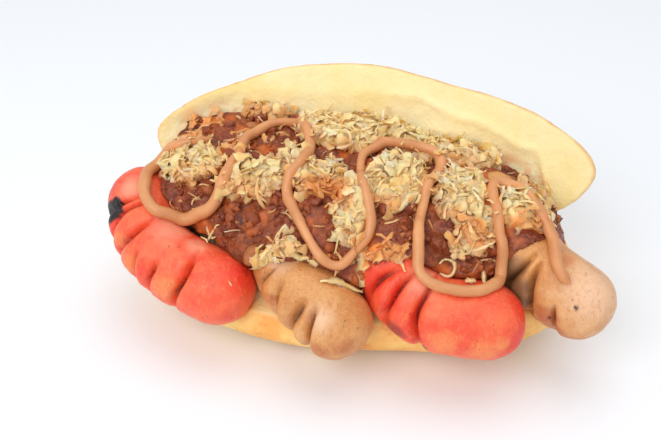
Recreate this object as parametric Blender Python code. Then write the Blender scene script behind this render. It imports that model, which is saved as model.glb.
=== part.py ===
"""A split roll opened like a book and filled with four scored sausages, meat sauce, sauerkraut and mustard.

Metres, +Z up. X runs along the roll, its closed side (the hinge) is at +Y, and the flat spot that the roll
rests on is at the origin. Every piece is one closed solid in its own object.
"""

import math
import random

import bmesh
import bpy
from mathutils import Euler, Matrix, Vector, noise
from mathutils.bvhtree import BVHTree

# ---- the roll ----
ROLL_LENGTH = 0.188
ROLL_WIDTH = 0.074
HINGE_INSET = 0.018          # bread left uncut behind the hinge
HINGE_Y = 0.024
HINGE_Z = 0.045
LID_LEAN = math.radians(60)  # the lid's cut face above the table, leaning back
LID_THICKNESS = 0.029
BASE_SLOPE = math.radians(22)  # the base's cut face falls towards the front
PLAN_POINT = 1.8             # the lid's outline: 2 is an ellipse, less is more pointed
PLAN_BLUNT = 2.3             # the base's outline is blunter
CRUST_BULGE = 0.0022
HOLLOW_DEPTH = 0.0034        # the torn hollow in the lid's crumb
HOLLOW_SLOPE = 0.014         # how wide the slope under the ridge is
HOLLOW_MARGIN = 0.15         # the share of the plan next to the rim where the hollow fades out

# x, and how far up the lid's face the ridge over the hollow lies
LID_RIDGE = ((-0.094, 0.040), (-0.030, 0.043), (0.015, 0.044), (0.040, 0.036), (0.068, 0.026), (0.078, 0.006))

# place along the roll, and the lid's height above its middle line as a share of the half width
LID_EDGE = ((-1.0, 0.80), (-0.70, 0.90), (-0.40, 1.0), (-0.10, 1.0), (0.35, 0.92), (0.70, 0.93), (1.0, 0.88))
# place along the roll, and the base's reach to the front as a share of the half width
BASE_EDGE = ((-1.0, 1.0), (-0.55, 1.10), (-0.15, 1.13), (0.25, 1.01), (1.0, 1.0))
BASE_TRIM = 0.09             # how far the base's +X end stops short of the lid's, as a share of the half length
BASE_TRIM_FROM = 0.4         # place along the roll where the base starts to fall short

# ---- the sausages ----
SAUSAGE_RADIUS = 0.0148
SAUSAGE_SIDES = 16
SAUSAGE_RING_STEP = 0.0068
SLIT_HALF_WIDTH = 0.0021
SLIT_MIDDLE = math.radians(-42)  # turned from the outside towards the sausage's top
SLIT_REACH = math.radians(78)

# ---- the filling ----
GAP = 0.00035                # air kept between touching solids
FLAT_ENOUGH = math.radians(0.6)  # faces closer than this in direction are merged after a cut
HEAP_DEPTH = 0.068           # from the heap's front edge to the lid
HEAP_BROW = 4.5              # the higher, the steeper the heap's front
HEAP_LUMP = 0.0030
HEAP_LUMP_SIZE = 0.016
SAUCE_COLUMNS = 30
SAUCE_ROWS = 8
SAUCE_LUMP = 0.0015
SAUCE_LUMP_SIZE = 0.0062
SAUCE_EDGE = 0.004           # thickness of the sauce's front edge
SAUCE_UNDERCUT = 0.3         # share of the depth over which the sauce's underside falls to the bread
SAUCE_COVER = 0.0024         # sauce over a sausage that the heap covers
COVER_FROM_X = -0.086        # the first sausage is bare up to here
COVER_FADE = 0.004
LUMP_COUNT = 13
LUMP_RADIUS = 0.0038
KRAUT_THICKNESS = 0.0055
KRAUT_COLUMNS = 26
KRAUT_ROWS = 6
KRAUT_LIFT = 0.0010          # the kraut's underside above the sauce
SHRED_COUNT = 23
SHRED_WIDTH = 0.0021
SHRED_THICKNESS = 0.0010
MUSTARD_RADIUS = 0.0022
MUSTARD_SIDES = 5
MUSTARD_STEP = 0.0062
SEED = 7


# ---------------------------------------------------------------- helpers

def material(name, colour, roughness):
    made = bpy.data.materials.new(name)
    made.use_nodes = True
    shader = made.node_tree.nodes["Principled BSDF"]
    shader.inputs["Base Color"].default_value = (*colour, 1.0)
    shader.inputs["Roughness"].default_value = roughness
    return made


def add_object(name, points, faces):
    mesh = bpy.data.meshes.new(name)
    mesh.from_pydata([tuple(p) for p in points], [], faces)
    shape = bmesh.new()
    shape.from_mesh(mesh)
    bmesh.ops.recalc_face_normals(shape, faces=shape.faces)
    bmesh.ops.triangulate(shape, faces=shape.faces)
    if shape.calc_volume(signed=True) < 0:
        bmesh.ops.reverse_faces(shape, faces=shape.faces)
    shape.to_mesh(mesh)
    shape.free()
    made = bpy.data.objects.new(name, mesh)
    bpy.context.scene.collection.objects.link(made)
    return made


def finish(piece, colour, roughness):
    """The piece's own material, and smooth shading away from its creases."""
    piece.data.materials.clear()
    piece.data.materials.append(material(piece.name, colour, roughness))
    piece.data.shade_smooth()
    piece.data.set_sharp_from_angle(angle=math.radians(50))


def smooth_line(points, step):
    """Points a step apart along a smooth curve through the given points."""
    knots = [Vector(p) for p in points]
    knots = [2 * knots[0] - knots[1]] + knots + [2 * knots[-1] - knots[-2]]
    fine = []
    for before, start, end, after in zip(knots, knots[1:], knots[2:], knots[3:]):
        for k in range(16):
            t = k / 16
            fine.append(0.5 * (2 * start + (end - before) * t
                               + (2 * before - 5 * start + 4 * end - after) * t ** 2
                               + (3 * start - before - 3 * end + after) * t ** 3))
    fine.append(knots[-2])
    total = sum((b - a).length for a, b in zip(fine, fine[1:]))
    spacing = total / max(2, round(total / step))
    line, travelled = [fine[0]], 0.0
    for a, b in zip(fine, fine[1:]):
        length = (b - a).length
        while travelled + length >= spacing * len(line) - 1e-9 and length > 0:
            line.append(a.lerp(b, (spacing * len(line) - travelled) / length))
        travelled += length
    return line


def smooth_step(t):
    t = max(0.0, min(1.0, t))
    return t * t * (3 - 2 * t)


def stations(table, x):
    """A value, or a row of values, read between the stations of a table by a smooth step in x."""
    if x <= table[0][0]:
        return table[0][1:]
    for low, high in zip(table, table[1:]):
        if x <= high[0]:
            t = smooth_step((x - low[0]) / (high[0] - low[0]))
            return tuple(a + (b - a) * t for a, b in zip(low[1:], high[1:]))
    return table[-1][1:]


def boolean(piece, operation, others, solver="EXACT"):
    """Joins the others to the piece, or cuts them from it, and removes them."""
    group = bpy.data.collections.new("others")
    for other in others:
        for owner in list(other.users_collection):
            owner.objects.unlink(other)
        group.objects.link(other)
    bpy.context.scene.collection.children.link(group)
    modifier = piece.modifiers.new("join", "BOOLEAN")
    modifier.operation = operation
    modifier.operand_type = "COLLECTION"
    modifier.collection = group
    modifier.solver = solver
    graph = bpy.context.evaluated_depsgraph_get()
    joined = bpy.data.meshes.new_from_object(piece.evaluated_get(graph))
    piece.modifiers.clear()
    piece.data = joined
    for other in others:
        bpy.data.objects.remove(other)
    bpy.data.collections.remove(group)
    return piece


def grown_copy(piece, by):
    """A copy with every point moved outwards, to cut a neighbour clear of the piece."""
    shape = bmesh.new()
    shape.from_mesh(piece.data)
    bmesh.ops.remove_doubles(shape, verts=shape.verts, dist=1e-6)
    shape.normal_update()
    moved = [v.co + v.normal * by * min(v.calc_shell_factor(), 1.6) for v in shape.verts]
    for vertex, place in zip(shape.verts, moved):
        vertex.co = place
    mesh = bpy.data.meshes.new("grown")
    shape.to_mesh(mesh)
    shape.free()
    made = bpy.data.objects.new("grown", mesh)
    bpy.context.scene.collection.objects.link(made)
    return made


def keep_largest(piece):
    """Drops the loose scraps that a cut leaves, and fills the hollows that a join seals."""
    shape = bmesh.new()
    shape.from_mesh(piece.data)
    bmesh.ops.remove_doubles(shape, verts=shape.verts, dist=2e-7)
    seen, largest = set(), []
    for face in shape.faces:
        if face in seen:
            continue
        shell, front = [], [face]
        seen.add(face)
        while front:
            here = front.pop()
            shell.append(here)
            for edge in here.edges:
                for other in edge.link_faces:
                    if other not in seen:
                        seen.add(other)
                        front.append(other)
        if len(shell) > len(largest):
            largest = shell
    kept = set(largest)
    bmesh.ops.delete(shape, geom=[f for f in shape.faces if f not in kept], context="FACES")
    shape.to_mesh(piece.data)
    shape.free()


def merge_flat_faces(piece):
    """Fewer triangles where a cut has split a flat face."""
    shape = bmesh.new()
    shape.from_mesh(piece.data)
    bmesh.ops.dissolve_limit(shape, angle_limit=FLAT_ENOUGH, verts=shape.verts, edges=shape.edges)
    bmesh.ops.triangulate(shape, faces=shape.faces)
    shape.to_mesh(piece.data)
    shape.free()


# ---------------------------------------------------------------- the roll

def oval_rings(shares, sides, bluntness):
    """Ring by ring, the (along, across, share) of points on the roll's plan, from -1 to 1."""
    rim = []
    for k in range(sides):
        c, s = math.cos(2 * math.pi * k / sides), math.sin(2 * math.pi * k / sides)
        rim.append((math.copysign(abs(c) ** (2 / bluntness), c), math.copysign(abs(s) ** (2 / bluntness), s)))
    return [[(a * share, b * share, share) for a, b in rim] for share in shares]


def closed_dish(cut_point, crust_point, bluntness, sides=40):
    """A half roll: rings over the cut face, out to the rim, and back over the crust."""
    cut_shares = (0.30, 0.52, 0.70, 0.84, 0.94)
    crust_shares = (0.975, 0.91, 0.80, 0.64, 0.42, 0.20)
    points = [cut_point(0.0, 0.0, 0.0)]
    for ring in oval_rings((*cut_shares, 1.0), sides, bluntness):
        points += [cut_point(*place) for place in ring]
    for ring in oval_rings(crust_shares, sides, bluntness):
        points += [crust_point(*place) for place in ring]
    points.append(crust_point(0.0, 0.0, 0.0))
    ring_count = len(cut_shares) + 1 + len(crust_shares)
    faces = []
    for k in range(sides):
        nxt = (k + 1) % sides
        faces.append((0, 1 + k, 1 + nxt))
        for r in range(ring_count - 1):
            a, b = 1 + r * sides, 1 + (r + 1) * sides
            faces.append((a + k, b + k, b + nxt, a + nxt))
        last = 1 + (ring_count - 1) * sides
        faces.append((last + k, len(points) - 1, last + nxt))
    return points, faces


def base_cut(along, across, share):
    """A point of the base's cut face, which slopes down to the front."""
    edge = stations(BASE_EDGE, along)[0] if across > 0 else 1
    reach = ROLL_WIDTH / 2 * (across * edge + 1) - HINGE_INSET
    trim = BASE_TRIM * smooth_step((along - BASE_TRIM_FROM) / (1 - BASE_TRIM_FROM))
    x = ROLL_LENGTH / 2 * (along - trim)
    return Vector((x, HINGE_Y - reach * math.cos(BASE_SLOPE), HINGE_Z - reach * math.sin(BASE_SLOPE)))


def base_crust(along, across, share):
    """The underside: a soft bulge under the rim, then a flat spot to stand on."""
    rim = base_cut(along, across, share)
    fullness = (1 - share ** 3) ** (1 / 3)
    drop = min(1.0, 1.09 * fullness)
    swell = 1 + CRUST_BULGE / (ROLL_WIDTH / 2) * 4 * drop * (1 - drop)
    return Vector((rim.x * swell, HINGE_Y + (rim.y - HINGE_Y) * swell, rim.z * (1 - drop)))


def lid_axes():
    up_face = Vector((0, math.cos(LID_LEAN), math.sin(LID_LEAN)))
    outwards = Vector((0, math.sin(LID_LEAN), -math.cos(LID_LEAN)))
    return up_face, outwards


def hollow(x, reach, share):
    """Depth of the hollow torn in the lid's crumb, below a ridge that falls towards +X."""
    inside = smooth_step((stations(LID_RIDGE, x)[0] - reach) / HOLLOW_SLOPE)
    return HOLLOW_DEPTH * inside * smooth_step((1 - share) / HOLLOW_MARGIN)


def lid_reach(along, across):
    """How far up the lid's face a point lies from the hinge."""
    edge = stations(LID_EDGE, along)[0] if across > 0 else 1
    return ROLL_WIDTH / 2 * (across * edge + 1) - HINGE_INSET


def lid_cut(along, across, share):
    reach = lid_reach(along, across)
    up_face, outwards = lid_axes()
    x = ROLL_LENGTH / 2 * along
    return Vector((x, HINGE_Y, HINGE_Z)) + up_face * reach + outwards * hollow(x, reach, share)


def lid_crust(along, across, share):
    reach = lid_reach(along, across)
    up_face, outwards = lid_axes()
    height = LID_THICKNESS * (1 - share ** 2.3) ** (1 / 2.3)
    return Vector((ROLL_LENGTH / 2 * along, HINGE_Y, HINGE_Z)) + up_face * reach + outwards * height


def make_roll(dents):
    roll = add_object("bun", *closed_dish(base_cut, base_crust, PLAN_BLUNT))
    lid = add_object("lid", *closed_dish(lid_cut, lid_crust, PLAN_POINT))
    boolean(roll, "UNION", [lid])
    boolean(roll, "DIFFERENCE", dents)
    keep_largest(roll)
    return roll


# ---------------------------------------------------------------- the sausages

# name: centre line from the hidden end to the rounded free end, the side that the slits open to,
# and the slits as (place along the sausage, depth as a share of the radius)
SAUSAGES = {
    "red_sausage_left": {
        "line": ((-0.090, 0.001, 0.0465), (-0.086, -0.009, 0.0425), (-0.078, -0.018, 0.038),
                 (-0.066, -0.0245, 0.0345), (-0.051, -0.029, 0.032)),
        "outside": (-0.62, -0.62, -0.42),
        "slits": ((0.28, 0.5), (0.395, 0.5), (0.475, 0.4), (0.565, 0.5), (0.70, 0.6)),
    },
    "brown_sausage_left": {
        "line": ((-0.035, 0.006, 0.048), (-0.030, -0.005, 0.044), (-0.025, -0.016, 0.0405),
                 (-0.020, -0.0245, 0.0375), (-0.013, -0.032, 0.0345), (-0.003, -0.037, 0.0295)),
        "outside": (-0.62, -0.62, -0.42),
        "slits": ((0.645, 0.4), (0.725, 0.55), (0.805, 0.6)),
    },
    "red_sausage_right": {
        "line": ((0.008, -0.002, 0.049), (0.013, -0.011, 0.046), (0.018, -0.0195, 0.042),
                 (0.0245, -0.026, 0.037), (0.033, -0.030, 0.034), (0.043, -0.031, 0.033),
                 (0.054, -0.030, 0.032)),
        "outside": (-0.42, -0.75, -0.42),
        "slits": ((0.49, 0.45), (0.595, 0.6)),
    },
    "brown_sausage_right": {
        "line": ((0.052, 0.014, 0.053), (0.060, 0.005, 0.050), (0.066, -0.003, 0.046),
                 (0.072, -0.0085, 0.042), (0.080, -0.0135, 0.039), (0.0875, -0.0165, 0.036)),
        "outside": (-0.52, -0.72, -0.42),
        "slits": ((0.56, 0.4), (0.655, 0.55), (0.79, 0.35)),
    },
}


def sausage_rings(line, slits, radius):
    """(centre, along, radius share, slit depth) for each ring from end to end."""
    path = smooth_line(line, 0.0008)
    spacing = (path[1] - path[0]).length
    length = spacing * (len(path) - 1)
    places = []
    for cap in (-1, 1):
        for turn in (18, 40, 64):
            angle = math.radians(turn)
            middle = 0.0 if cap < 0 else length
            places.append((middle + cap * radius * math.cos(angle), math.sin(angle) ** 0.85, 0.0))
    full = length + 2 * radius
    marks = [((share * full - radius), depth) for share, depth in slits]
    for mark, depth in marks:
        places += [(mark - SLIT_HALF_WIDTH, 1.0, 0.0), (mark, 1.0, depth), (mark + SLIT_HALF_WIDTH, 1.0, 0.0)]
    for k in range(round(length / SAUSAGE_RING_STEP) + 1):
        place = length * k / round(length / SAUSAGE_RING_STEP)
        if all(abs(place - mark) > 2.1 * SLIT_HALF_WIDTH for mark, _ in marks):
            places.append((place, 1.0, 0.0))
    rings = []
    for place, share, depth in sorted(places):
        inside = max(0.0, min(length, place))
        k = min(len(path) - 2, int(inside / spacing))
        along = (path[k + 1] - path[k]).normalized()
        centre = path[k].lerp(path[k + 1], inside / spacing - k) + along * (place - inside)
        rings.append((centre, along, share, depth))
    return rings


def make_sausage(name, line, outside, slits, radius=SAUSAGE_RADIUS):
    rings = sausage_rings(line, slits, radius)
    points, faces = [], []
    first, last = rings[0], rings[-1]
    cap_left = radius * (1 - math.cos(math.radians(18)))
    points.append(first[0] - first[1] * cap_left)
    for centre, along, share, depth in rings:
        out = Vector(outside)
        out = (out - along * out.dot(along)).normalized()
        side = along.cross(out)
        for k in range(SAUSAGE_SIDES):
            turn = 2 * math.pi * k / SAUSAGE_SIDES
            away = abs(math.remainder(turn - SLIT_MIDDLE, 2 * math.pi)) / SLIT_REACH
            cut = depth * max(0.0, 1 - away ** 2)
            reach = radius * share * (1 - cut)
            points.append(centre + (out * math.cos(turn) + side * math.sin(turn)) * reach)
    points.append(last[0] + last[1] * cap_left)
    for k in range(SAUSAGE_SIDES):
        nxt = (k + 1) % SAUSAGE_SIDES
        faces.append((0, 1 + k, 1 + nxt))
        for r in range(len(rings) - 1):
            a, b = 1 + r * SAUSAGE_SIDES, 1 + (r + 1) * SAUSAGE_SIDES
            faces.append((a + k, a + nxt, b + nxt, b + k))
        end = 1 + (len(rings) - 1) * SAUSAGE_SIDES
        faces.append((end + k, end + nxt, len(points) - 1))
    return add_object(name, points, faces)


def sausage_dents():
    """A smooth tube a gap wider than each sausage, to press its dent into whatever holds it."""
    return [make_sausage("dent", spec["line"], spec["outside"], (), SAUSAGE_RADIUS + GAP)
            for spec in SAUSAGES.values()]


# ---------------------------------------------------------------- the filling's heap

# x, front y, front z, back y, back z: the edges of the heap's top
HEAP_EDGES = (
    (-0.092, 0.006, 0.042, 0.016, 0.046),
    (-0.086, 0.000, 0.051, 0.027, 0.060),
    (-0.078, -0.006, 0.054, 0.038, 0.067),
    (-0.060, -0.014, 0.050, 0.042, 0.070),
    (-0.042, -0.027, 0.047, 0.042, 0.072),
    (-0.020, -0.031, 0.048, 0.040, 0.072),
    (0.006, -0.030, 0.044, 0.040, 0.071),
    (0.022, -0.026, 0.051, 0.038, 0.068),
    (0.045, -0.024, 0.048, 0.036, 0.065),
    (0.062, -0.016, 0.049, 0.034, 0.060),
    (0.073, -0.011, 0.050, 0.029, 0.055),
    (0.079, -0.003, 0.046, 0.022, 0.049),
    (0.084, 0.005, 0.038, 0.016, 0.042),
)


def heap_point(x, v):
    """The top of the heap: v runs from its front edge to the lid."""
    front_y, front_z, back_y, back_z = stations(HEAP_EDGES, x)
    rise = 1 - (1 - v) ** HEAP_BROW
    lump = noise.noise(Vector((x, v * HEAP_DEPTH, 0)) / HEAP_LUMP_SIZE) * HEAP_LUMP
    z = front_z + (back_z - front_z) * rise + lump * min(1.0, 6 * v)
    return Vector((x, front_y + (back_y - front_y) * v, z))


def heap_normal(x, v):
    d = 0.002
    along = heap_point(x + d, v) - heap_point(x - d, v)
    back = heap_point(x, min(1.0, v + 0.03)) - heap_point(x, max(0.0, v - 0.03))
    return along.cross(back).normalized()


def base_height(y):
    """Height of the base's cut face."""
    return HINGE_Z - (HINGE_Y - y) * math.tan(BASE_SLOPE)


def sheet_solid(name, top, bottom, columns, rows):
    """A closed lens between two grids that share their border."""
    points, faces = [], []
    for grid in (top, bottom):
        for i in range(columns + 1):
            for j in range(rows + 1):
                points.append(grid(i / columns, j / rows))
    width = rows + 1
    offset = (columns + 1) * width
    for i in range(columns):
        for j in range(rows):
            a, b, c, d = i * width + j, (i + 1) * width + j, (i + 1) * width + j + 1, i * width + j + 1
            faces.append((a, b, c, d))
            faces.append((offset + a, offset + d, offset + c, offset + b))
    rim = [i * width for i in range(columns + 1)]
    rim += [columns * width + j for j in range(1, rows + 1)]
    rim += [i * width + rows for i in range(columns - 1, -1, -1)]
    rim += [j for j in range(rows - 1, 0, -1)]
    for a, b in zip(rim, rim[1:] + rim[:1]):
        faces.append((b, a, offset + a, offset + b))
    return add_object(name, points, faces)


def surface_height(solids):
    """A function that gives the height of the highest of the solids at a spot."""
    trees = [BVHTree.FromPolygons([v.co for v in piece.data.vertices], [p.vertices for p in piece.data.polygons])
             for piece in solids]

    def height(x, y):
        drops = [tree.ray_cast(Vector((x, y, 0.2)), Vector((0, 0, -1)))[0] for tree in trees]
        return max((hit.z for hit in drops if hit), default=0.03)

    return height


def make_sauce(sausages):
    """The heap, thick enough to cover the sausages under it."""
    low_x, high_x = HEAP_EDGES[0][0], HEAP_EDGES[-1][0]
    sausage_height = surface_height(sausages)

    def top(i, j):
        x = low_x + (high_x - low_x) * i
        place = heap_point(x, j)
        cover = sausage_height(place.x, place.y) + SAUCE_COVER - place.z
        place.z += max(0.0, cover) * smooth_step((x - COVER_FROM_X) / COVER_FADE)
        lump = noise.noise(place / SAUCE_LUMP_SIZE) + 0.5 * noise.noise(place / SAUCE_LUMP_SIZE * 2)
        return place + heap_normal(x, j) * SAUCE_LUMP * lump

    def bottom(i, j):
        x = low_x + (high_x - low_x) * i
        place = heap_point(x, j)
        sink = min(1.0, j / SAUCE_UNDERCUT)
        place.z += (base_height(place.y) - place.z) * sink - SAUCE_EDGE
        return place

    return sheet_solid("meat_sauce", top, bottom, SAUCE_COLUMNS, SAUCE_ROWS)


def make_lumps(draw):
    """Pieces of meat and beans half sunk in the sauce: most along its front, some at the back's near end."""
    lumps = []
    for k in range(LUMP_COUNT):
        at_front = k % 4 != 3
        x = draw.uniform(-0.066, 0.070) if at_front else draw.uniform(-0.080, -0.020)
        v = draw.uniform(0.04, 0.30) if at_front else draw.uniform(0.88, 0.95)
        shape = bmesh.new()
        bmesh.ops.create_icosphere(shape, subdivisions=2, radius=LUMP_RADIUS * draw.uniform(0.75, 1.2))
        turn = Euler([draw.uniform(0, 2 * math.pi) for _ in range(3)])
        place = heap_point(x, v) + heap_normal(x, v) * LUMP_RADIUS * 0.25
        flattening = Matrix.Diagonal((1.25, 0.95, 0.75))
        points = [place + turn.to_matrix() @ (flattening @ vertex.co) for vertex in shape.verts]
        faces = [[vertex.index for vertex in face.verts] for face in shape.faces]
        shape.free()
        lumps.append(add_object("lump", points, faces))
    return lumps


# ---------------------------------------------------------------- sauerkraut and mustard

# x, front v, back v: the edges of the kraut on the heap
KRAUT_EDGES = (
    (-0.085, 0.25, 0.55),
    (-0.074, 0.18, 0.68),
    (-0.058, 0.36, 0.72),
    (-0.042, 0.42, 0.80),
    (-0.030, 0.16, 0.92),
    (-0.008, 0.10, 0.96),
    (0.010, 0.30, 0.97),
    (0.024, 0.42, 0.97),
    (0.040, 0.26, 0.96),
    (0.055, 0.26, 0.94),
    (0.068, 0.36, 0.90),
    (0.077, 0.34, 0.70),
)


def kraut_edges(x):
    front, back = stations(KRAUT_EDGES, x)
    return front + 0.05 * noise.noise(Vector((x / 0.007, 0.2, 0))), back


def make_kraut_core(height):
    low_x, high_x = KRAUT_EDGES[0][0], KRAUT_EDGES[-1][0]

    def layer(i, j, thickness):
        x = low_x + (high_x - low_x) * i
        front, back = kraut_edges(x)
        place = heap_point(x, front + (back - front) * j)
        near = [height(place.x + dx, place.y + dy) for dx in (-0.002, 0, 0.002) for dy in (-0.0025, 0, 0.0025)]
        place.z = max(place.z, *near) + KRAUT_LIFT
        swell = math.sin(math.pi * j) ** 0.6 * min(1.0, 10 * i, 10 * (1 - i))
        lump = 1 + 0.5 * noise.noise(place / 0.007)
        return place + heap_normal(x, j) * thickness * (0.15 + 0.85 * swell) * lump

    return sheet_solid("sauerkraut",
                       lambda i, j: layer(i, j, KRAUT_THICKNESS),
                       lambda i, j: layer(i, j, 0.0), KRAUT_COLUMNS, KRAUT_ROWS)


def make_strip(points, normals, width, thickness, name):
    """A thin ribbon of cabbage along the given points."""
    corners, faces = [], []
    for k, (place, normal) in enumerate(zip(points, normals)):
        ahead = points[min(k + 1, len(points) - 1)] - points[max(k - 1, 0)]
        side = ahead.cross(normal).normalized() * width / 2
        up = normal * thickness / 2
        corners += [place - side - up, place + side - up, place + side + up, place - side + up]
    for k in range(len(points) - 1):
        for c in range(4):
            a, b = 4 * k + c, 4 * k + (c + 1) % 4
            faces.append((a, b, b + 4, a + 4))
    last = 4 * (len(points) - 1)
    faces += [(0, 3, 2, 1), (last, last + 1, last + 2, last + 3)]
    return add_object(name, corners, faces)


def make_shreds(draw, kraut_height, other_height):
    """Loose shreds that bend over the kraut, each sunk in it at both ends."""
    shreds = []
    for k in range(SHRED_COUNT):
        x = draw.uniform(KRAUT_EDGES[0][0] + 0.006, KRAUT_EDGES[-1][0] - 0.006)
        front, back = kraut_edges(x)
        v = front + (back - front) * draw.uniform(0.12, 0.9)
        heading = draw.uniform(-1.2, 1.2) + (math.pi if x > 0 else 0)
        bend = draw.uniform(-1.6, 1.6)
        step = draw.uniform(0.012, 0.024) / 4
        roll = draw.uniform(-0.7, 0.7)
        points, normals = [], []
        for n in range(5):
            place = heap_point(x, v)
            place.z = max(kraut_height(place.x, place.y), other_height(place.x, place.y) + 0.0012)
            normal = heap_normal(x, v)
            points.append(place + normal * 0.0014 * math.sin(math.pi * n / 4))
            tilted = normal + Vector((math.cos(heading + 1.57), math.sin(heading + 1.57), 0)) * roll
            normals.append(tilted.normalized())
            x += math.cos(heading) * step
            v = max(0.05, min(0.97, v + math.sin(heading) * step / HEAP_DEPTH))
            heading += bend / 4
        width = SHRED_WIDTH * draw.uniform(0.75, 1.5)
        shreds.append(make_strip(points, normals, width, SHRED_THICKNESS, "shred"))
    return shreds


# the mustard's loops as seen from above, in millimetres
MUSTARD_LOOPS = (
    (-63, 18), (-68, 13), (-75, 11), (-82, 11), (-86, 4), (-86, -3), (-84, -10), (-78, -15), (-71, -13),
    (-63, -12), (-56, -12), (-52, -9), (-51, -4), (-49, 4), (-49, 12), (-47, 22), (-43, 29), (-37, 32),
    (-29, 29), (-23, 20), (-21, 9), (-23, -1), (-26, -7), (-25, -12), (-20, -19), (-15, -25), (-9, -30),
    (-4, -30), (-1, -29), (3, -25), (7, -22), (8, -18), (6, -13), (3, -7), (1, 1), (0, 9), (1, 16),
    (6, 21), (14, 23), (23, 24), (30, 21), (31, 15), (29, 7), (27, -1), (26, -9), (26, -19), (27, -25),
    (28, -30), (33, -33), (42, -34), (51, -32), (57, -25), (58, -18), (56, -13), (55, -7), (53, 0),
    (52, 6), (54, 10), (59, 9), (65, 4), (69, -1), (73, -5), (76, -10), (77, -16), (79, -22), (83, -26),
)


def make_mustard(kraut_height, other_height):
    """A rope of mustard along its loops: sunk in the kraut, and just clear of everything else."""
    laid = []
    for x, y, _ in smooth_line([(x / 1000, y / 1000, 0) for x, y in MUSTARD_LOOPS], 0.003):
        on_kraut = kraut_height(x, y) + MUSTARD_RADIUS * 0.5
        laid.append(Vector((x, y, max(on_kraut, other_height(x, y) + MUSTARD_RADIUS * 1.1 + GAP))))
    for _ in range(2):
        heights = [place.z for place in laid]
        for k in range(1, len(laid) - 1):
            laid[k].z = max(heights[k] - 0.0003, (heights[k - 1] + heights[k] + heights[k + 1]) / 3)
    path = smooth_line(laid, MUSTARD_STEP)
    corners, faces = [], []
    for k, place in enumerate(path):
        along = (path[min(k + 1, len(path) - 1)] - path[max(k - 1, 0)]).normalized()
        side = along.cross(Vector((0, 0, 1))).normalized()
        up = side.cross(along)
        for c in range(MUSTARD_SIDES):
            turn = 2 * math.pi * c / MUSTARD_SIDES
            corners.append(place + (side * math.cos(turn) + up * math.sin(turn)) * MUSTARD_RADIUS)
    for k in range(len(path) - 1):
        for c in range(MUSTARD_SIDES):
            a, b = MUSTARD_SIDES * k + c, MUSTARD_SIDES * k + (c + 1) % MUSTARD_SIDES
            faces.append((a, b, b + MUSTARD_SIDES, a + MUSTARD_SIDES))
    faces.append(tuple(range(MUSTARD_SIDES)))
    faces.append(tuple(len(corners) - 1 - c for c in range(MUSTARD_SIDES)))
    return add_object("mustard", corners, faces)


# ---------------------------------------------------------------- the whole

def main():
    for old in list(bpy.data.objects):
        bpy.data.objects.remove(old)
    draw = random.Random(SEED)
    sausages = [make_sausage(name, **spec) for name, spec in SAUSAGES.items()]
    roll = make_roll(sausage_dents())
    sauce = make_sauce(sausages)
    boolean(sauce, "UNION", make_lumps(draw))
    boolean(sauce, "DIFFERENCE", [grown_copy(roll, GAP), *sausage_dents()])
    keep_largest(sauce)
    clearance = [grown_copy(sauce, 2 * GAP), grown_copy(roll, GAP), *sausage_dents()]
    merge_flat_faces(roll)
    merge_flat_faces(sauce)
    others = surface_height([roll, sauce, *sausages])
    kraut = make_kraut_core(others)
    on_kraut = surface_height([kraut])
    boolean(kraut, "UNION", [*make_shreds(draw, on_kraut, others), make_mustard(on_kraut, others)])
    boolean(kraut, "DIFFERENCE", clearance, solver="MANIFOLD")  # EXACT leaves doubled edges here
    keep_largest(kraut)
    merge_flat_faces(kraut)
    finish(roll, (0.93, 0.82, 0.55), 0.8)
    finish(sauce, (0.36, 0.13, 0.07), 0.4)
    finish(kraut, (0.80, 0.66, 0.36), 0.5)
    for piece in sausages:
        finish(piece, (0.85, 0.16, 0.08) if piece.name.startswith("red") else (0.62, 0.36, 0.19), 0.35)


main()
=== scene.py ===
"""A loaded hot dog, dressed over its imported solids: a split roll with four scored sausages that stick out
over its front, a heap of meat sauce, sauerkraut, and one looping line of mustard. Metres, +Z up, +X along the
roll.
"""

import math
import random

import bmesh
import bpy
import numpy as np
from mathutils import Matrix, Vector, noise
from mathutils.bvhtree import BVHTree


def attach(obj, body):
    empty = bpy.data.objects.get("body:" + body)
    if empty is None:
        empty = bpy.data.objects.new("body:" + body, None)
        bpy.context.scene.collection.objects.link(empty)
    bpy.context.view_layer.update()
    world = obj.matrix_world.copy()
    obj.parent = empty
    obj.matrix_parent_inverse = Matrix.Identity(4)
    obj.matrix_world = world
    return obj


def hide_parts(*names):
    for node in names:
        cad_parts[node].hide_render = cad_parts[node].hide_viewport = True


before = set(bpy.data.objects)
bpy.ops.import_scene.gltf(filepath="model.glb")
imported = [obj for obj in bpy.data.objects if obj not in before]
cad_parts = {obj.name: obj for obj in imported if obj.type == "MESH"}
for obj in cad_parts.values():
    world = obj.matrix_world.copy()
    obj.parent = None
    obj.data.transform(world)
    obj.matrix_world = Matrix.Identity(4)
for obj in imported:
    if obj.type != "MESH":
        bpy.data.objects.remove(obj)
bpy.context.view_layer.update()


# ---- Table, light and camera ----
# A plain pale table under soft studio light: an even bright room, one broad lamp in front and to the left,
# and a weaker one overhead. The camera looks down on the roll's open side.

def srgb(red, green, blue):
    """A screen colour from 0 to 255 as the linear colour that sockets take."""
    shares = [value / 255 for value in (red, green, blue)]
    return (*[c / 12.92 if c <= 0.04045 else ((c + 0.055) / 1.055) ** 2.4 for c in shares], 1.0)


def node(tree, kind, inputs=None, **settings):
    """Adds a node, sets its properties, and gives each named input a value or a link."""
    made = tree.nodes.new(kind)
    for key, value in settings.items():
        setattr(made, key, value)
    for key, value in (inputs or {}).items():
        if isinstance(value, bpy.types.NodeSocket):
            tree.links.new(value, made.inputs[key])
        else:
            made.inputs[key].default_value = value
    return made


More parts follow.
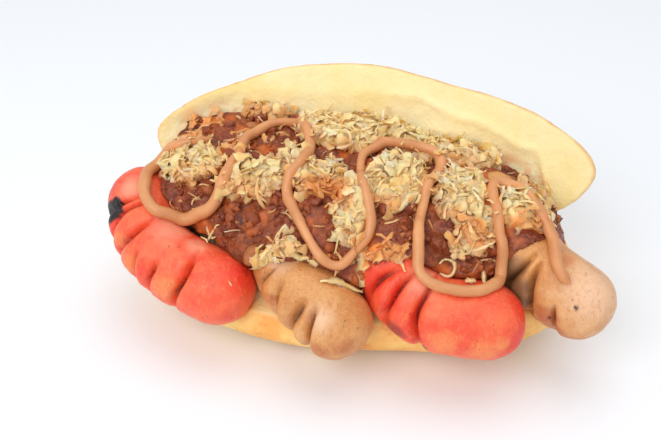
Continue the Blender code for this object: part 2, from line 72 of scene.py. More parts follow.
def new_material(name, roughness, subsurface=(0.0, (1.0, 0.2, 0.1), 0.05)):
    """A material, its node tree and its shader; subsurface is its weight, reach by colour, and scale."""
    made = bpy.data.materials.new(name)
    made.use_nodes = True
    shader = made.node_tree.nodes["Principled BSDF"]
    keys = ("Roughness", "Subsurface Weight", "Subsurface Radius", "Subsurface Scale")
    for key, value in zip(keys, (roughness, *subsurface)):
        shader.inputs[key].default_value = value
    return made, made.node_tree, shader


def add_object(name, mesh, material=None, smooth=True):
    made = bpy.data.objects.new(name, mesh)
    bpy.context.scene.collection.objects.link(made)
    if material is not None:
        mesh.materials.clear()
        mesh.materials.append(material)
    if smooth:
        mesh.shade_smooth()
    return made


TABLE_HALF = 3.0
table_mesh = bpy.data.meshes.new("table")
table_mesh.from_pydata([(-TABLE_HALF, -TABLE_HALF, 0), (TABLE_HALF, -TABLE_HALF, 0),
                        (TABLE_HALF, TABLE_HALF, 0), (-TABLE_HALF, TABLE_HALF, 0)], [], [(0, 1, 2, 3)])
table_paint, _, table_shader = new_material("table_paint", 0.6)
table_shader.inputs["Base Color"].default_value = srgb(243, 246, 250)
table = add_object("table", table_mesh, table_paint, smooth=False)

room = bpy.data.worlds.new("room")
room.use_nodes = True
room.node_tree.nodes["Background"].inputs["Color"].default_value = (0.97, 0.985, 1.0, 1.0)
room.node_tree.nodes["Background"].inputs["Strength"].default_value = 0.70
bpy.context.scene.world = room

LAMP_AIM = (0.0, 0.0, 0.04)
for lamp_name, place, power in (("lamp_front", (-0.35, -0.75, 0.80), 5.6),
                                ("lamp_above", (0.10, 0.10, 1.0), 2.3)):
    lamp_data = bpy.data.lights.new(lamp_name, "AREA")
    lamp_data.shape = "DISK"
    lamp_data.size = 0.8
    lamp_data.energy = power
    lamp = bpy.data.objects.new(lamp_name, lamp_data)
    lamp.location = place
    lamp.rotation_euler = (Vector(LAMP_AIM) - Vector(place)).to_track_quat("-Z", "Y").to_euler()
    bpy.context.scene.collection.objects.link(lamp)

camera_data = bpy.data.cameras.new("camera")
camera_data.lens = 49.0
camera_data.sensor_width = 36.0
camera_data.clip_start = 0.01
camera = bpy.data.objects.new("camera", camera_data)
camera.location = (0.0398, -0.2857, 0.2677)
camera.rotation_euler = (Vector((-0.015, 0.025, 0.030)) - camera.location).to_track_quat("-Z", "Y").to_euler()
bpy.context.scene.collection.objects.link(camera)
bpy.context.scene.camera = camera
bpy.context.scene.view_settings.view_transform = "Standard"


# ---- The roll ----
# A soft white bread roll, sliced along one side and opened like a book. The lid leans back on its hinge and
# shows a pale yellow crumb with a torn hollow, whose crumb is lightened with painted light against the shade
# that falls in it; the thin crust is golden. It is modelled as two domed halves that are fused by a fine
# voxel skin, and the sausages press their beds into the lower one.

ROLL_LENGTH = 0.188
ROLL_WIDTH = 0.074
HINGE_INSET = 0.018
HINGE = np.array((0.0, 0.024, 0.045))
LID_LEAN = math.radians(60)
LID_THICKNESS = 0.029
BASE_SLOPE = math.radians(22)
LID_EDGE = ((-1.0, 0.80), (-0.70, 0.90), (-0.40, 1.0), (-0.10, 1.0), (0.35, 0.92), (0.70, 0.93), (1.0, 0.88))
BASE_EDGE = ((-1.0, 1.0), (-0.55, 1.10), (-0.15, 1.13), (0.25, 1.01), (1.0, 1.0))
BASE_TRIM = 0.09  # how far the base's +X end stops short of the lid's, as a share of the half length
BASE_TRIM_FROM = 0.4
BASE_SWELL = 0.0022  # how far the base's crust bulges past its cut
LID_RIDGE = ((-0.094, 0.040), (-0.030, 0.043), (0.015, 0.044), (0.040, 0.036), (0.068, 0.026), (0.078, 0.006))
LID_UP = np.array((0, math.cos(LID_LEAN), math.sin(LID_LEAN)))
LID_OUT = np.array((0, math.sin(LID_LEAN), -math.cos(LID_LEAN)))
BASE_UP = np.array((0, -math.sin(BASE_SLOPE), math.cos(BASE_SLOPE)))
HOLLOW_DEPTH = 0.0034
LID_BLUNTNESS = 1.8
BASE_BLUNTNESS = 2.3
CRUMB_VOXEL = 0.00085


def stations(table, x):
    """Rows of values read between the stations of a table, eased from one station to the next."""
    marks = np.array([row[0] for row in table])
    values = np.array([row[1:] for row in table])
    place = np.clip(x, marks[0], marks[-1])
    low = np.clip(np.searchsorted(marks, place, side="right") - 1, 0, len(marks) - 2)
    t = (place - marks[low]) / (marks[low + 1] - marks[low])
    t = (t * t * (3 - 2 * t))[..., None]
    return values[low] * (1 - t) + values[low + 1] * t


def eased(value, low, high):
    """0 below low, 1 above high, and a smooth step between them."""
    t = np.clip((value - low) / (high - low), 0, 1)
    return t * t * (3 - 2 * t)


def lumps(points, size, seed=0.0):
    """Smooth random heights, about -1 to 1, with lumps of the given size."""
    return np.array([noise.noise(p) for p in (points / size + seed).tolist()])


def hollow(x, reach, share):
    """Depth of the hollow where the lid's crumb tore, under a ridge that falls towards +X, fading at the rim.
    """
    inside = eased(stations(LID_RIDGE, x)[..., 0] - reach, 0.0, 0.014)
    return HOLLOW_DEPTH * inside * eased(1 - share, 0.0, 0.15)


def lid_point(along, across, share, under):
    """A point on the lid's cut face, or under it on the crust, for a place inside the rim."""
    edge = np.where(across > 0, stations(LID_EDGE, along)[..., 0], 1.0)
    reach = ROLL_WIDTH / 2 * (across * edge + 1) - HINGE_INSET
    x = ROLL_LENGTH / 2 * along
    crust = LID_THICKNESS * np.maximum(0, 1 - share ** 2.3) ** (1 / 2.3)
    depth = np.where(under, crust, hollow(x, reach, share))
    return np.stack([x, 0 * x, 0 * x], -1) + HINGE + reach[..., None] * LID_UP + depth[..., None] * LID_OUT


def base_point(along, across, share, under):
    """The same for the base, whose crust curves down to the flat spot it stands on."""
    edge = np.where(across > 0, stations(BASE_EDGE, along)[..., 0], 1.0)
    reach = ROLL_WIDTH / 2 * (across * edge + 1) - HINGE_INSET
    x = ROLL_LENGTH / 2 * (along - BASE_TRIM * eased(along, BASE_TRIM_FROM, 1.0))
    y = HINGE[1] - reach * math.cos(BASE_SLOPE)
    z = HINGE[2] - reach * math.sin(BASE_SLOPE)
    drop = np.where(under, np.minimum(1, 1.09 * np.maximum(0, 1 - share ** 3) ** (1 / 3)), 0)
    swell = 1 + BASE_SWELL / (ROLL_WIDTH / 2) * 4 * drop * (1 - drop)
    return np.stack([x * swell, HINGE[1] + (y - HINGE[1]) * swell, z * (1 - drop)], -1)


def ring_faces(rings, sides):
    """Quads between neighbouring rings of points, and a fan at either end round one more point."""
    faces = []
    for k in range(sides):
        nxt = (k + 1) % sides
        faces.append((rings * sides, nxt, k))
        faces.append((rings * sides + 1, (rings - 1) * sides + k, (rings - 1) * sides + nxt))
        for r in range(rings - 1):
            a, b = r * sides, (r + 1) * sides
            faces.append((a + k, a + nxt, b + nxt, b + k))
    return faces


def half_roll(point, bluntness, sides=260, rings=46):
    """A closed half: rings over the cut face out to the rim, then back over the crust."""
    turn = np.linspace(0, 2 * np.pi, sides, endpoint=False)
    c, s = np.cos(turn), np.sin(turn)
    rim = np.stack([np.sign(c) * np.abs(c) ** (2 / bluntness), np.sign(s) * np.abs(s) ** (2 / bluntness)], -1)
    shares = np.sin(np.linspace(0.02, 1, rings) * np.pi / 2)
    shares = np.concatenate([shares, shares[-2::-1]])
    under = np.arange(len(shares)) >= rings
    along = shares[:, None] * rim[None, :, 0]
    across = shares[:, None] * rim[None, :, 1]
    grid = point(along, across, np.broadcast_to(shares[:, None], along.shape),
                 np.broadcast_to(under[:, None], along.shape)).reshape(-1, 3)
    points = np.concatenate([grid, grid[:sides].mean(0)[None], grid[-sides:].mean(0)[None]])
    return points, ring_faces(len(shares), sides)


def coords(mesh, key="co"):
    flat = np.empty(len(mesh.vertices) * 3, np.float32)
    mesh.vertices.foreach_get(key, flat)
    return flat.reshape(-1, 3).astype(float)


def set_coords(mesh, points):
    mesh.vertices.foreach_set("co", np.asarray(points, np.float32).ravel())
    mesh.update()


def normals(mesh):
    return coords(mesh, "normal")


def paint(mesh, name, values):
    """Stores a value for each point, for the materials to read."""
    layer = mesh.attributes.get(name) or mesh.attributes.new(name, "FLOAT", "POINT")
    layer.data.foreach_set("value", np.asarray(values, np.float32))


def applied(piece, name, *modifiers):
    """A plain mesh of the piece with the given (kind, settings) modifiers on it."""
    for kind, settings in modifiers:
        modifier = piece.modifiers.new(kind.lower(), kind)
        for key, value in settings.items():
            setattr(modifier, key, value)
    mesh = bpy.data.meshes.new_from_object(piece.evaluated_get(bpy.context.evaluated_depsgraph_get()))
    mesh.name = name
    bpy.data.objects.remove(piece)
    return mesh


def closed_mesh(name, points, faces):
    """A mesh with its faces turned outwards."""
    mesh = bpy.data.meshes.new(name)
    mesh.from_pydata([tuple(p) for p in points], [], faces)
    shape = bmesh.new()
    shape.from_mesh(mesh)
    bmesh.ops.recalc_face_normals(shape, faces=shape.faces)
    if shape.calc_volume(signed=True) < 0:
        bmesh.ops.reverse_faces(shape, faces=shape.faces)
    shape.to_mesh(mesh)
    shape.free()
    return mesh


def smooth_line(points, step):
    """Points a step apart along a smooth curve through the given points."""
    knots = [Vector(p) for p in points]
    knots = [2 * knots[0] - knots[1]] + knots + [2 * knots[-1] - knots[-2]]
    fine = []
    for before, start, end, after in zip(knots, knots[1:], knots[2:], knots[3:]):
        for k in range(16):
            t = k / 16
            fine.append(0.5 * (2 * start + (end - before) * t
                               + (2 * before - 5 * start + 4 * end - after) * t ** 2
                               + (3 * start - before - 3 * end + after) * t ** 3))
    fine.append(knots[-2])
    fine = np.array([tuple(p) for p in fine])
    travelled = np.concatenate([[0], np.cumsum(np.linalg.norm(np.diff(fine, axis=0), axis=1))])
    count = max(3, round(travelled[-1] / step) + 1)
    marks = np.linspace(0, travelled[-1], count)
    return np.stack([np.interp(marks, travelled, fine[:, k]) for k in range(3)], -1), travelled[-1]


# centre line from the hidden end to the rounded free end, the side that the slits open to, and the slits as
# (place along, depth, their middle and half reach round the skin in degrees, slant)
SAUSAGE_RADIUS = 0.0148
SAUSAGES = {
    "red_sausage_left": {
        "line": ((-0.090, 0.001, 0.0465), (-0.086, -0.009, 0.0425), (-0.078, -0.018, 0.038),
                 (-0.066, -0.0245, 0.0345), (-0.051, -0.029, 0.032)),
        "outside": (-0.62, -0.62, -0.42),
        "slits": ((0.245, 0.46, -50, 66, 0.0), (0.30, 0.36, -60, 74, 0.1), (0.395, 0.46, -50, 74, 0.0),
                  (0.48, 0.40, -26, 42, 0.0), (0.565, 0.44, -30, 46, 0.0), (0.70, 0.58, -52, 80, -0.1)),
    },
    "brown_sausage_left": {
        "line": ((-0.035, 0.006, 0.048), (-0.030, -0.005, 0.044), (-0.025, -0.016, 0.0405),
                 (-0.020, -0.0245, 0.0375), (-0.013, -0.032, 0.0345), (-0.003, -0.037, 0.0295)),
        "outside": (-0.62, -0.62, -0.42),
        "slits": ((0.555, 0.26, -40, 40, 0.0), (0.645, 0.38, -28, 46, 0.05), (0.725, 0.50, -26, 56, 0.1),
                  (0.805, 0.54, -24, 64, 0.22)),
    },
    "red_sausage_right": {
        "line": ((0.008, -0.002, 0.049), (0.013, -0.011, 0.046), (0.018, -0.0195, 0.042),
                 (0.0245, -0.026, 0.037), (0.033, -0.030, 0.034), (0.043, -0.031, 0.033),
                 (0.054, -0.030, 0.032)),
        "outside": (-0.42, -0.75, -0.42),
        "slits": ((0.425, 0.34, -46, 50, 0.1), (0.49, 0.46, -52, 62, 0.1), (0.595, 0.60, -48, 92, 0.14)),
    },
    "brown_sausage_right": {
        "line": ((0.052, 0.014, 0.053), (0.060, 0.005, 0.050), (0.066, -0.003, 0.046),
                 (0.072, -0.0085, 0.042), (0.080, -0.0135, 0.039), (0.0875, -0.0165, 0.036)),
        "outside": (-0.52, -0.72, -0.42),
        "slits": ((0.56, 0.40, -30, 60, 0.1), (0.655, 0.52, -22, 66, 0.2), (0.79, 0.32, -6, 42, 0.3)),
    },
}


def sausage_grid(line, outside, slits, radius=SAUSAGE_RADIUS, step=0.00055, sides=112):
    """Rings of points from end to end of a sausage, how deep each lies in the crease of a cut (the mask of
    the painted shade in the slits), and the two end points.
    """
    path, length = smooth_line(line, step)
    cap = np.radians(np.linspace(5, 86, 18))
    places = np.concatenate([-radius * np.cos(cap), np.linspace(0, length, len(path)),
                             length + radius * np.cos(cap[::-1])])
    shares = np.concatenate([np.sin(cap) ** 0.85, np.ones(len(path)), np.sin(cap[::-1]) ** 0.85])
    inside = np.clip(places, 0, length)
    marks = np.linspace(0, length, len(path))
    ahead = np.gradient(path, axis=0)
    ahead /= np.linalg.norm(ahead, axis=1)[:, None]
    centre = np.stack([np.interp(inside, marks, path[:, k]) for k in range(3)], -1)
    along = np.stack([np.interp(inside, marks, ahead[:, k]) for k in range(3)], -1)
    along /= np.linalg.norm(along, axis=1)[:, None]
    centre = centre + along * (places - inside)[:, None]
    out = np.array(outside) - along * (along @ np.array(outside))[:, None]
    out /= np.linalg.norm(out, axis=1)[:, None]
    side = np.cross(along, out)
    turn = np.linspace(-np.pi, np.pi, sides, endpoint=False)
    # the creases of the slits, which the skin paints dark as painted shade
    slit = np.zeros((len(places), sides))
    dent = np.zeros((len(places), sides))
    full = length + 2 * radius
    for share, depth, middle, reach, slant in slits:
        turned = turn - math.radians(middle)
        mark = share * full - radius + slant * turned * radius + 0.0006 * np.sin(turned * 3.1 + share * 40)
        away = np.abs(places[:, None] - mark[None, :])
        open_share = np.clip(1 - (turned / math.radians(reach)) ** 2, 0, 1) ** 0.6
        crease = np.exp(-(away / (0.0004 + 0.0004 * open_share)) ** 1.6) * open_share
        valley = np.exp(-(away / (0.0008 + 0.0009 * open_share)) ** 1.5) * open_share
        slit = np.maximum(slit, crease)
        dent = np.maximum(dent, depth * (0.60 * crease + 0.36 * valley))
    reach = radius * shares[:, None] * (1 - dent)
    points = centre[:, None] + reach[..., None] * (out[:, None] * np.cos(turn)[None, :, None]
                                                   + side[:, None] * np.sin(turn)[None, :, None])
    ends = (centre[0] - along[0] * radius * 0.006, centre[-1] + along[-1] * radius * 0.006)
    return points, slit, ends


def sausage_mesh(name, grid, ends):
    points = np.concatenate([grid.reshape(-1, 3), ends[0][None], ends[1][None]])
    return closed_mesh(name, points, ring_faces(*grid.shape[:2]))


def tree_of(mesh):
    return BVHTree.FromPolygons([v.co for v in mesh.vertices], [p.vertices for p in mesh.polygons])


BED_GAP = 0.0004
sausage_beds = []
for spec in SAUSAGES.values():
    bed_radius = SAUSAGE_RADIUS + BED_GAP
    bed_grid, _, bed_ends = sausage_grid(spec["line"], spec["outside"], (), bed_radius, 0.002, 48)
    sausage_beds.append(tree_of(sausage_mesh("bed", bed_grid, bed_ends)))


def pressed(points):
    """Lowers each point that lies in or over a sausage's underside to that underside."""
    lowered = points.copy()
    for k, (x, y, z) in enumerate(points):
        for bed in sausage_beds:
            hit = bed.ray_cast(Vector((x, y, -0.05)), Vector((0, 0, 1)))[0]
            if hit is not None and hit.z < lowered[k, 2]:
                lowered[k, 2] = hit.z
    return lowered


base_points, base_faces = half_roll(base_point, BASE_BLUNTNESS)
lid_points, lid_faces = half_roll(lid_point, LID_BLUNTNESS)
base_points = pressed(base_points)
offset = len(base_points)
halves = closed_mesh("halves", np.concatenate([base_points, lid_points]),
                     base_faces + [tuple(i + offset for i in face) for face in lid_faces])
roll_mesh = applied(add_object("halves", halves), "bread_roll",
                    ("REMESH", {"mode": "VOXEL", "voxel_size": CRUMB_VOXEL}),
                    ("SMOOTH", {"factor": 0.5, "iterations": 4}))

at = coords(roll_mesh)
away = at - HINGE
reach = away @ LID_UP
depth = away @ LID_OUT
above_base = away @ BASE_UP
on_lid = above_base > 0.0012
across = (reach + HINGE_INSET) / (ROLL_WIDTH / 2) - 1
along = at[:, 0] / (ROLL_LENGTH / 2)
across /= np.where(across > 0, stations(LID_EDGE, along)[:, 0], 1.0)
lid_share = np.abs(along) ** LID_BLUNTNESS + np.abs(across) ** LID_BLUNTNESS
lid_share = np.clip(lid_share ** (1 / LID_BLUNTNESS), 0, 1)
crust_depth = np.where(on_lid, depth - hollow(at[:, 0], reach, lid_share), -above_base)
crust = np.where(on_lid, eased(crust_depth, 0.0006, 0.0026), eased(crust_depth, -0.0004, 0.0012))
facing = normals(roll_mesh)
crust = np.where(~on_lid & (at[:, 1] > 0.010) & (facing[:, 2] > 0.3), 0.0, crust)
crust = np.maximum(crust, eased(at[:, 1], 0.030, 0.036) * eased(facing[:, 1], -0.1, 0.3) * ~on_lid)
broad = lumps(at, 0.013)
middle = lumps(at, 0.0045, 7.3)
fine = lumps(at, 0.0016, 3.1)
height = (1 - crust) * (0.00045 * broad + 0.00028 * middle + 0.00010 * fine)
wrinkles = 1 - np.abs(lumps(at * (0.45, 1, 1), 0.006, 1.7))
height += crust * (0.0004 * broad + 0.00010 * fine + 0.00022 * wrinkles)
past_ridge = reach - stations(LID_RIDGE, at[:, 0])[:, 0]
lip = np.exp(-((past_ridge - 0.0005) / 0.0022) ** 2) * eased(at[:, 0], -0.02, 0.03)
height += np.where(on_lid, (1 - crust) * lip * eased(1 - lid_share, 0.03, 0.2) * 0.0011, 0.0)
shaped = at + facing * height[:, None]
shaped[:, 2] = np.maximum(shaped[:, 2], 0.0)
set_coords(roll_mesh, shaped)
paint(roll_mesh, "crust", crust)
toast = crust * eased(lumps(at, 0.009, 5.0) + 0.5 * fine, -0.1, 0.9)
paint(roll_mesh, "toast", toast)
rim_line = eased(lid_share + 0.006 * middle, 0.975, 0.995) * eased(reach, 0.0, 0.02) * on_lid
paint(roll_mesh, "rim", rim_line * (0.55 + 0.45 * eased(lumps(at, 0.005, 8.8), -0.3, 0.4)))
# painted light: the crumb in the hollow is painted lighter, against the shade that falls in it
paint(roll_mesh, "torn", hollow(at[:, 0], reach, lid_share) / HOLLOW_DEPTH * on_lid)


def mix_colour(tree, factor, first, second):
    """The colour between first and second by factor; each is a value or a socket."""
    return node(tree, "ShaderNodeMix", {0: factor, 6: first, 7: second}, data_type="RGBA").outputs[2]


def ranged(tree, value, low, high, start=0.0, end=1.0):
    return node(tree, "ShaderNodeMapRange", {0: value, 1: low, 2: high, 3: start, 4: end}).outputs[0]


def noise_of(tree, position, scale, detail=3.0, rough=0.55, distortion=0.0):
    return node(tree, "ShaderNodeTexNoise", {"Vector": position, "Scale": scale, "Detail": detail,
                                             "Roughness": rough, "Distortion": distortion}).outputs["Fac"]


def attribute(tree, name, most=None):
    """The value painted on the mesh under that name, scaled so that 1 becomes most."""
    value = node(tree, "ShaderNodeAttribute", attribute_name=name).outputs["Fac"]
    return value if most is None else ranged(tree, value, 0, 1, 0, most)


def calc(tree, operation, *values):
    """A maths node over values or sockets."""
    return node(tree, "ShaderNodeMath", dict(enumerate(values)), operation=operation).outputs[0]


def layered(tree, base, *layers):
    """The base colour with each (mask, colour) laid over it in turn."""
    for mask, colour in layers:
        base = mix_colour(tree, mask, base, colour)
    return base


def effect_group(name, inputs, outputs):
    """An empty shader node group, its input node's outputs and its output node's inputs."""
    group = bpy.data.node_groups.new(name, "ShaderNodeTree")
    for label, kind in inputs:
        group.interface.new_socket(label, in_out="INPUT", socket_type=kind)
    for label, kind in outputs:
        group.interface.new_socket(label, in_out="OUTPUT", socket_type=kind)
    return group, node(group, "NodeGroupInput").outputs, node(group, "NodeGroupOutput").inputs


VECTOR, FLOAT, COLOUR = "NodeSocketVector", "NodeSocketFloat", "NodeSocketColor"

# one colour drifting into another in soft blotches, as all cooked food does
mottle, mottle_in, mottle_out = effect_group(
    "mottle", (("Position", VECTOR), ("Light", COLOUR), ("Dark", COLOUR), ("Scale", FLOAT),
               ("Spread", FLOAT)), (("Colour", COLOUR),))
blotch = noise_of(mottle, mottle_in["Position"], mottle_in["Scale"], 5.0, 0.6, 0.4)
half = calc(mottle, "MULTIPLY", mottle_in["Spread"], 0.5)
share = ranged(mottle, blotch, calc(mottle, "SUBTRACT", 0.5, half), calc(mottle, "ADD", 0.5, half))
mottle.links.new(mix_colour(mottle, share, mottle_in["Light"], mottle_in["Dark"]), mottle_out["Colour"])

# small round flecks of a given size, scattered thinly
flecks, flecks_in, flecks_out = effect_group(
    "flecks", (("Position", VECTOR), ("Scale", FLOAT), ("Size", FLOAT)), (("Mask", FLOAT),))
cells = node(flecks, "ShaderNodeTexVoronoi", {"Vector": flecks_in["Position"], "Scale": flecks_in["Scale"]})
red = node(flecks, "ShaderNodeSeparateColor", {0: cells.outputs["Color"]}).outputs[0]
inside = calc(flecks, "SUBTRACT", calc(flecks, "MULTIPLY", red, flecks_in["Size"]), cells.outputs["Distance"])
flecks.links.new(ranged(flecks, inside, 0.0, 0.06), flecks_out["Mask"])


def mottled(tree, position, light, dark, scale, spread=0.3):
    values = {"Position": position, "Light": light, "Dark": dark, "Scale": scale, "Spread": spread}
    return node(tree, "ShaderNodeGroup", values, node_tree=mottle).outputs["Colour"]


def flecked(tree, position, scale, size):
    values = {"Position": position, "Scale": scale, "Size": size}
    return node(tree, "ShaderNodeGroup", values, node_tree=flecks).outputs["Mask"]


def object_place(tree):
    return node(tree, "ShaderNodeTexCoord").outputs["Object"]


def bump(tree, shader, height, strength, distance):
    relief = node(tree, "ShaderNodeBump", {"Strength": strength, "Distance": distance, "Height": height})
    tree.links.new(relief.outputs["Normal"], shader.inputs["Normal"])


bread, tree, shader = new_material("bread", 0.75, (0.12, (1.0, 0.7, 0.35), 0.003))
position = object_place(tree)
crust_colour = layered(tree, mottled(tree, position, srgb(255, 217, 132), srgb(246, 175, 88), 55.0),
                       (attribute(tree, "toast"), srgb(230, 148, 72)))
# the crumb colour; in the hollow it is lightened with painted light, against the shade that falls there
colour = layered(tree, mottled(tree, position, srgb(248, 230, 177), srgb(243, 219, 147), 38.0),
                 (attribute(tree, "torn", 0.85), srgb(255, 252, 212)),
                 (attribute(tree, "crust"), crust_colour), (attribute(tree, "rim", 0.8), srgb(222, 160, 98)),
                 (attribute(tree, "stain", 0.7), srgb(240, 158, 78)))
tree.links.new(colour, shader.inputs["Base Color"])
tree.links.new(ranged(tree, attribute(tree, "crust"), 0, 1, 0.8, 0.5), shader.inputs["Roughness"])
pores = node(tree, "ShaderNodeTexVoronoi", {"Vector": position, "Scale": 620.0}, feature="SMOOTH_F1")
grain = noise_of(tree, position, 900.0, 2.0)
bump(tree, shader, calc(tree, "ADD", pores.outputs["Distance"], grain), 0.35, 0.0006)

roll = add_object("bread_roll", roll_mesh, bread)
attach(roll, "root")
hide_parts("bun")


# ---- The sausages ----
# Two red and two light brown sausages, scored crosswise before frying, so that the slits gape and the skin
# between them bulges. Their skins are satin, blotched with orange, and charred black in a few spots.

def skin_material(name, light, dark, deep, scorch, dusky, pale, ruddy):
    """Blotched skin; the attributes say where it is scorched, ruddy or charred, where painted shade darkens
    its slits and shaded parts, and where a paler tone carries painted highlights.
    """
    made, tree, shader = new_material(name, 0.36, (0.1, (1.0, 0.35, 0.2), 0.002))
    position = object_place(tree)
    stretched = node(tree, "ShaderNodeMapping", {"Vector": position, "Scale": (1.0, 1.0, 0.35)}).outputs[0]
    streaks = ranged(tree, noise_of(tree, stretched, 150.0, 6.0, 0.62, 1.2), 0.52, 0.72, 0.0, 0.55)
    veins = calc(tree, "SUBTRACT", noise_of(tree, position, 230.0, 5.0, 0.65, 2.2), 0.5)
    veins = ranged(tree, calc(tree, "ABSOLUTE", veins), 0.0, 0.018, 0.35, 0.0)
    tanned = ranged(tree, noise_of(tree, stretched, 420.0, 6.0, 0.7, 1.5), 0.52, 0.70, 0.0, 0.5)
    patchy = noise_of(tree, position, 520.0, 6.0, 0.75, 1.2)
    browned = ranged(tree, calc(tree, "MULTIPLY", attribute(tree, "scorch"), patchy), 0.18, 0.62, 0.0, 0.85)
    burnt = ranged(tree, noise_of(tree, position, 800.0, 4.0, 0.7, 0.8), 0.60, 0.70, 0.0, 0.55)
    burnt = calc(tree, "MULTIPLY", burnt, attribute(tree, "scorch"))
    specks = ranged(tree, flecked(tree, position, 260.0, 0.17), 0, 1, 0, 0.4)
    # the slits' creases and the shaded parts get painted shade, and the tops get painted highlights mixed
    # into a paler tone
    colour = layered(tree, mottled(tree, position, light, dark, 75.0, 0.34), (streaks, light), (veins, deep),
                     (attribute(tree, "pale"), pale), (attribute(tree, "ruddy"), ruddy), (tanned, scorch),
                     (browned, scorch), (burnt, deep), (attribute(tree, "dusky"), dusky), (specks, deep),
                     (attribute(tree, "slit"), deep), (attribute(tree, "char"), srgb(22, 12, 14)))
    tree.links.new(colour, shader.inputs["Base Color"])
    gloss = ranged(tree, noise_of(tree, position, 260.0, 3.0), 0.3, 0.7, 0.30, 0.48)
    tree.links.new(gloss, shader.inputs["Roughness"])
    bump(tree, shader, noise_of(tree, stretched, 520.0, 5.0, 0.65, 1.0), 0.5, 0.0010)
    return made


# the colours: light, dark, deep, scorch, then painted shade, a paler tone with painted highlights, and ruddy
red_skin = skin_material("red_skin", srgb(255, 113, 71), srgb(238, 60, 38), srgb(104, 16, 10),
                         srgb(246, 150, 84), srgb(150, 24, 20), srgb(252, 172, 140), srgb(238, 36, 26))
brown_skin = skin_material("brown_skin", srgb(230, 169, 104), srgb(208, 138, 76), srgb(104, 54, 28),
                           srgb(184, 90, 42), srgb(122, 88, 62), srgb(246, 206, 172), srgb(206, 120, 70))
MARKS = {  # spots in the skins, each (x, y, z, radius) in mm
    "char": ((-103, -8, 45, 6.5), (-100, -11, 49, 5.6), (-97, -12, 53, 4.6), (30, -44, 26, 4.0),
             (78, -28, 35, 0.9), (86, -29, 43, 1.0), (-49, -39, 42, 0.7), (-52, -37, 44, 0.5)),
    "scorch": ((-93, -23, 45, 9), (-85, -27, 38, 10), (-69, -37, 36, 12), (-6, -51, 26, 9), (3, -50, 29, 8),
               (-27, -37, 37, 6), (40, -45, 33, 10), (55, -45, 30, 11), (80, -28, 29, 9), (60, -43, 33, 7),
               (70, -21, 31, 8), (76, -28, 36, 9)),
    # painted shade: darker, greyer spots where the sausages lie in shade, most on the back segment of the
    # right brown one
    "dusky": ((3, -28, 37, 9), (21, -40, 31, 6), (61, -16, 46, 10), (64, -20, 42, 9), (66, -21, 36, 8)),
    # painted highlights on the tops of the left red, left brown and right red sausages, and the right brown
    # one's own paler, pinker tip
    "pale": ((-72, -18, 49, 12), (-92, -6, 60, 8), (-60, -24, 46, 8), (30, -32, 50, 10), (92, -24, 47, 20),
             (-6, -46, 38, 8), (-24, -30, 50, 8)),
    "ruddy": ((-43, -30, 40, 13), (12, -27, 44, 13), (20, -34, 40, 10), (67, -30, 42, 9), (66, -36, 32, 9),
              (77, -28, 33, 8), (82, -15, 54, 4)),
}


def marked(points, spots, softness):
    """How far each point lies inside one of the spots, whose edges are ragged."""
    found = np.zeros(len(points))
    ragged = 1 + 0.30 * lumps(points, 0.0035, 6.6)
    for x, y, z, radius in spots:
        away = np.linalg.norm(points - np.array((x, y, z)) / 1000, axis=1) / (radius / 1000) * ragged
        found = np.maximum(found, eased(1 - away, 0.0, softness))
    return found


skins = {}
for name, spec in SAUSAGES.items():
    grid, slit, ends = sausage_grid(spec["line"], spec["outside"], spec["slits"])
    flat = grid.reshape(-1, 3)
    swell = 0.00045 * lumps(flat, 0.012, 2.2) + 0.00018 * lumps(flat, 0.0045, 4.4)
    swell += 0.00008 * lumps(flat, 0.0016)
    mesh = sausage_mesh(name, grid, ends)
    skin_normals = normals(mesh)
    points = coords(mesh)
    points[:-2] += skin_normals[:-2] * swell[:, None]
    set_coords(mesh, points)
    # painted shade in the slits' creases, where the cut closes and little light reaches
    paint(mesh, "slit", eased(np.concatenate([slit.ravel(), [0, 0]]), 0.35, 0.95) * 0.9)
    # char, scorch and ruddy spots are the skins' own colour; the dusky spots are painted shade, and the pale
    # spots a paler tone with painted highlights
    for kind, softness, most in (("char", 0.18, 1), ("dusky", 0.6, 0.8), ("pale", 0.9, 0.7),
                                 ("ruddy", 0.8, 0.75)):
        paint(mesh, kind, marked(points, MARKS[kind], softness) * most)
    low_side = eased(-skin_normals[:, 2], 0.0, 0.8)
    paint(mesh, "scorch", np.maximum(low_side * 0.8, marked(points, MARKS["scorch"], 0.8)))
    piece = add_object(name + "_skin", mesh, red_skin if name.startswith("red") else brown_skin)
    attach(piece, "root")
    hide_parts(name)
    skins[name] = piece


# ---- The meat sauce ----
# A thick heap of minced meat in an oily red-brown sauce, spooned over the sausages. The solid's form is
# remeshed finely and broken into crumbs of meat; a scatter of loose mince lies half sunk in it.

SAUCE_VOXEL = 0.0008
HEAP_EDGES = (  # x, front y, front z, back y, back z
    (-0.092, 0.006, 0.042, 0.016, 0.046), (-0.086, 0.000, 0.051, 0.027, 0.060),
    (-0.078, -0.006, 0.054, 0.038, 0.067), (-0.060, -0.014, 0.050, 0.042, 0.070),
    (-0.042, -0.027, 0.047, 0.042, 0.072), (-0.020, -0.031, 0.048, 0.040, 0.072),
    (0.006, -0.030, 0.044, 0.040, 0.071), (0.022, -0.026, 0.051, 0.038, 0.068),
    (0.045, -0.024, 0.048, 0.036, 0.065), (0.062, -0.016, 0.049, 0.034, 0.060),
    (0.073, -0.011, 0.050, 0.029, 0.055), (0.079, -0.003, 0.046, 0.022, 0.049),
    (0.084, 0.005, 0.038, 0.016, 0.042))
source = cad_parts["meat_sauce"].data.copy()
shape = bmesh.new()
shape.from_mesh(source)
bmesh.ops.remove_doubles(shape, verts=shape.verts, dist=1e-6)
shape.to_mesh(source)
shape.free()
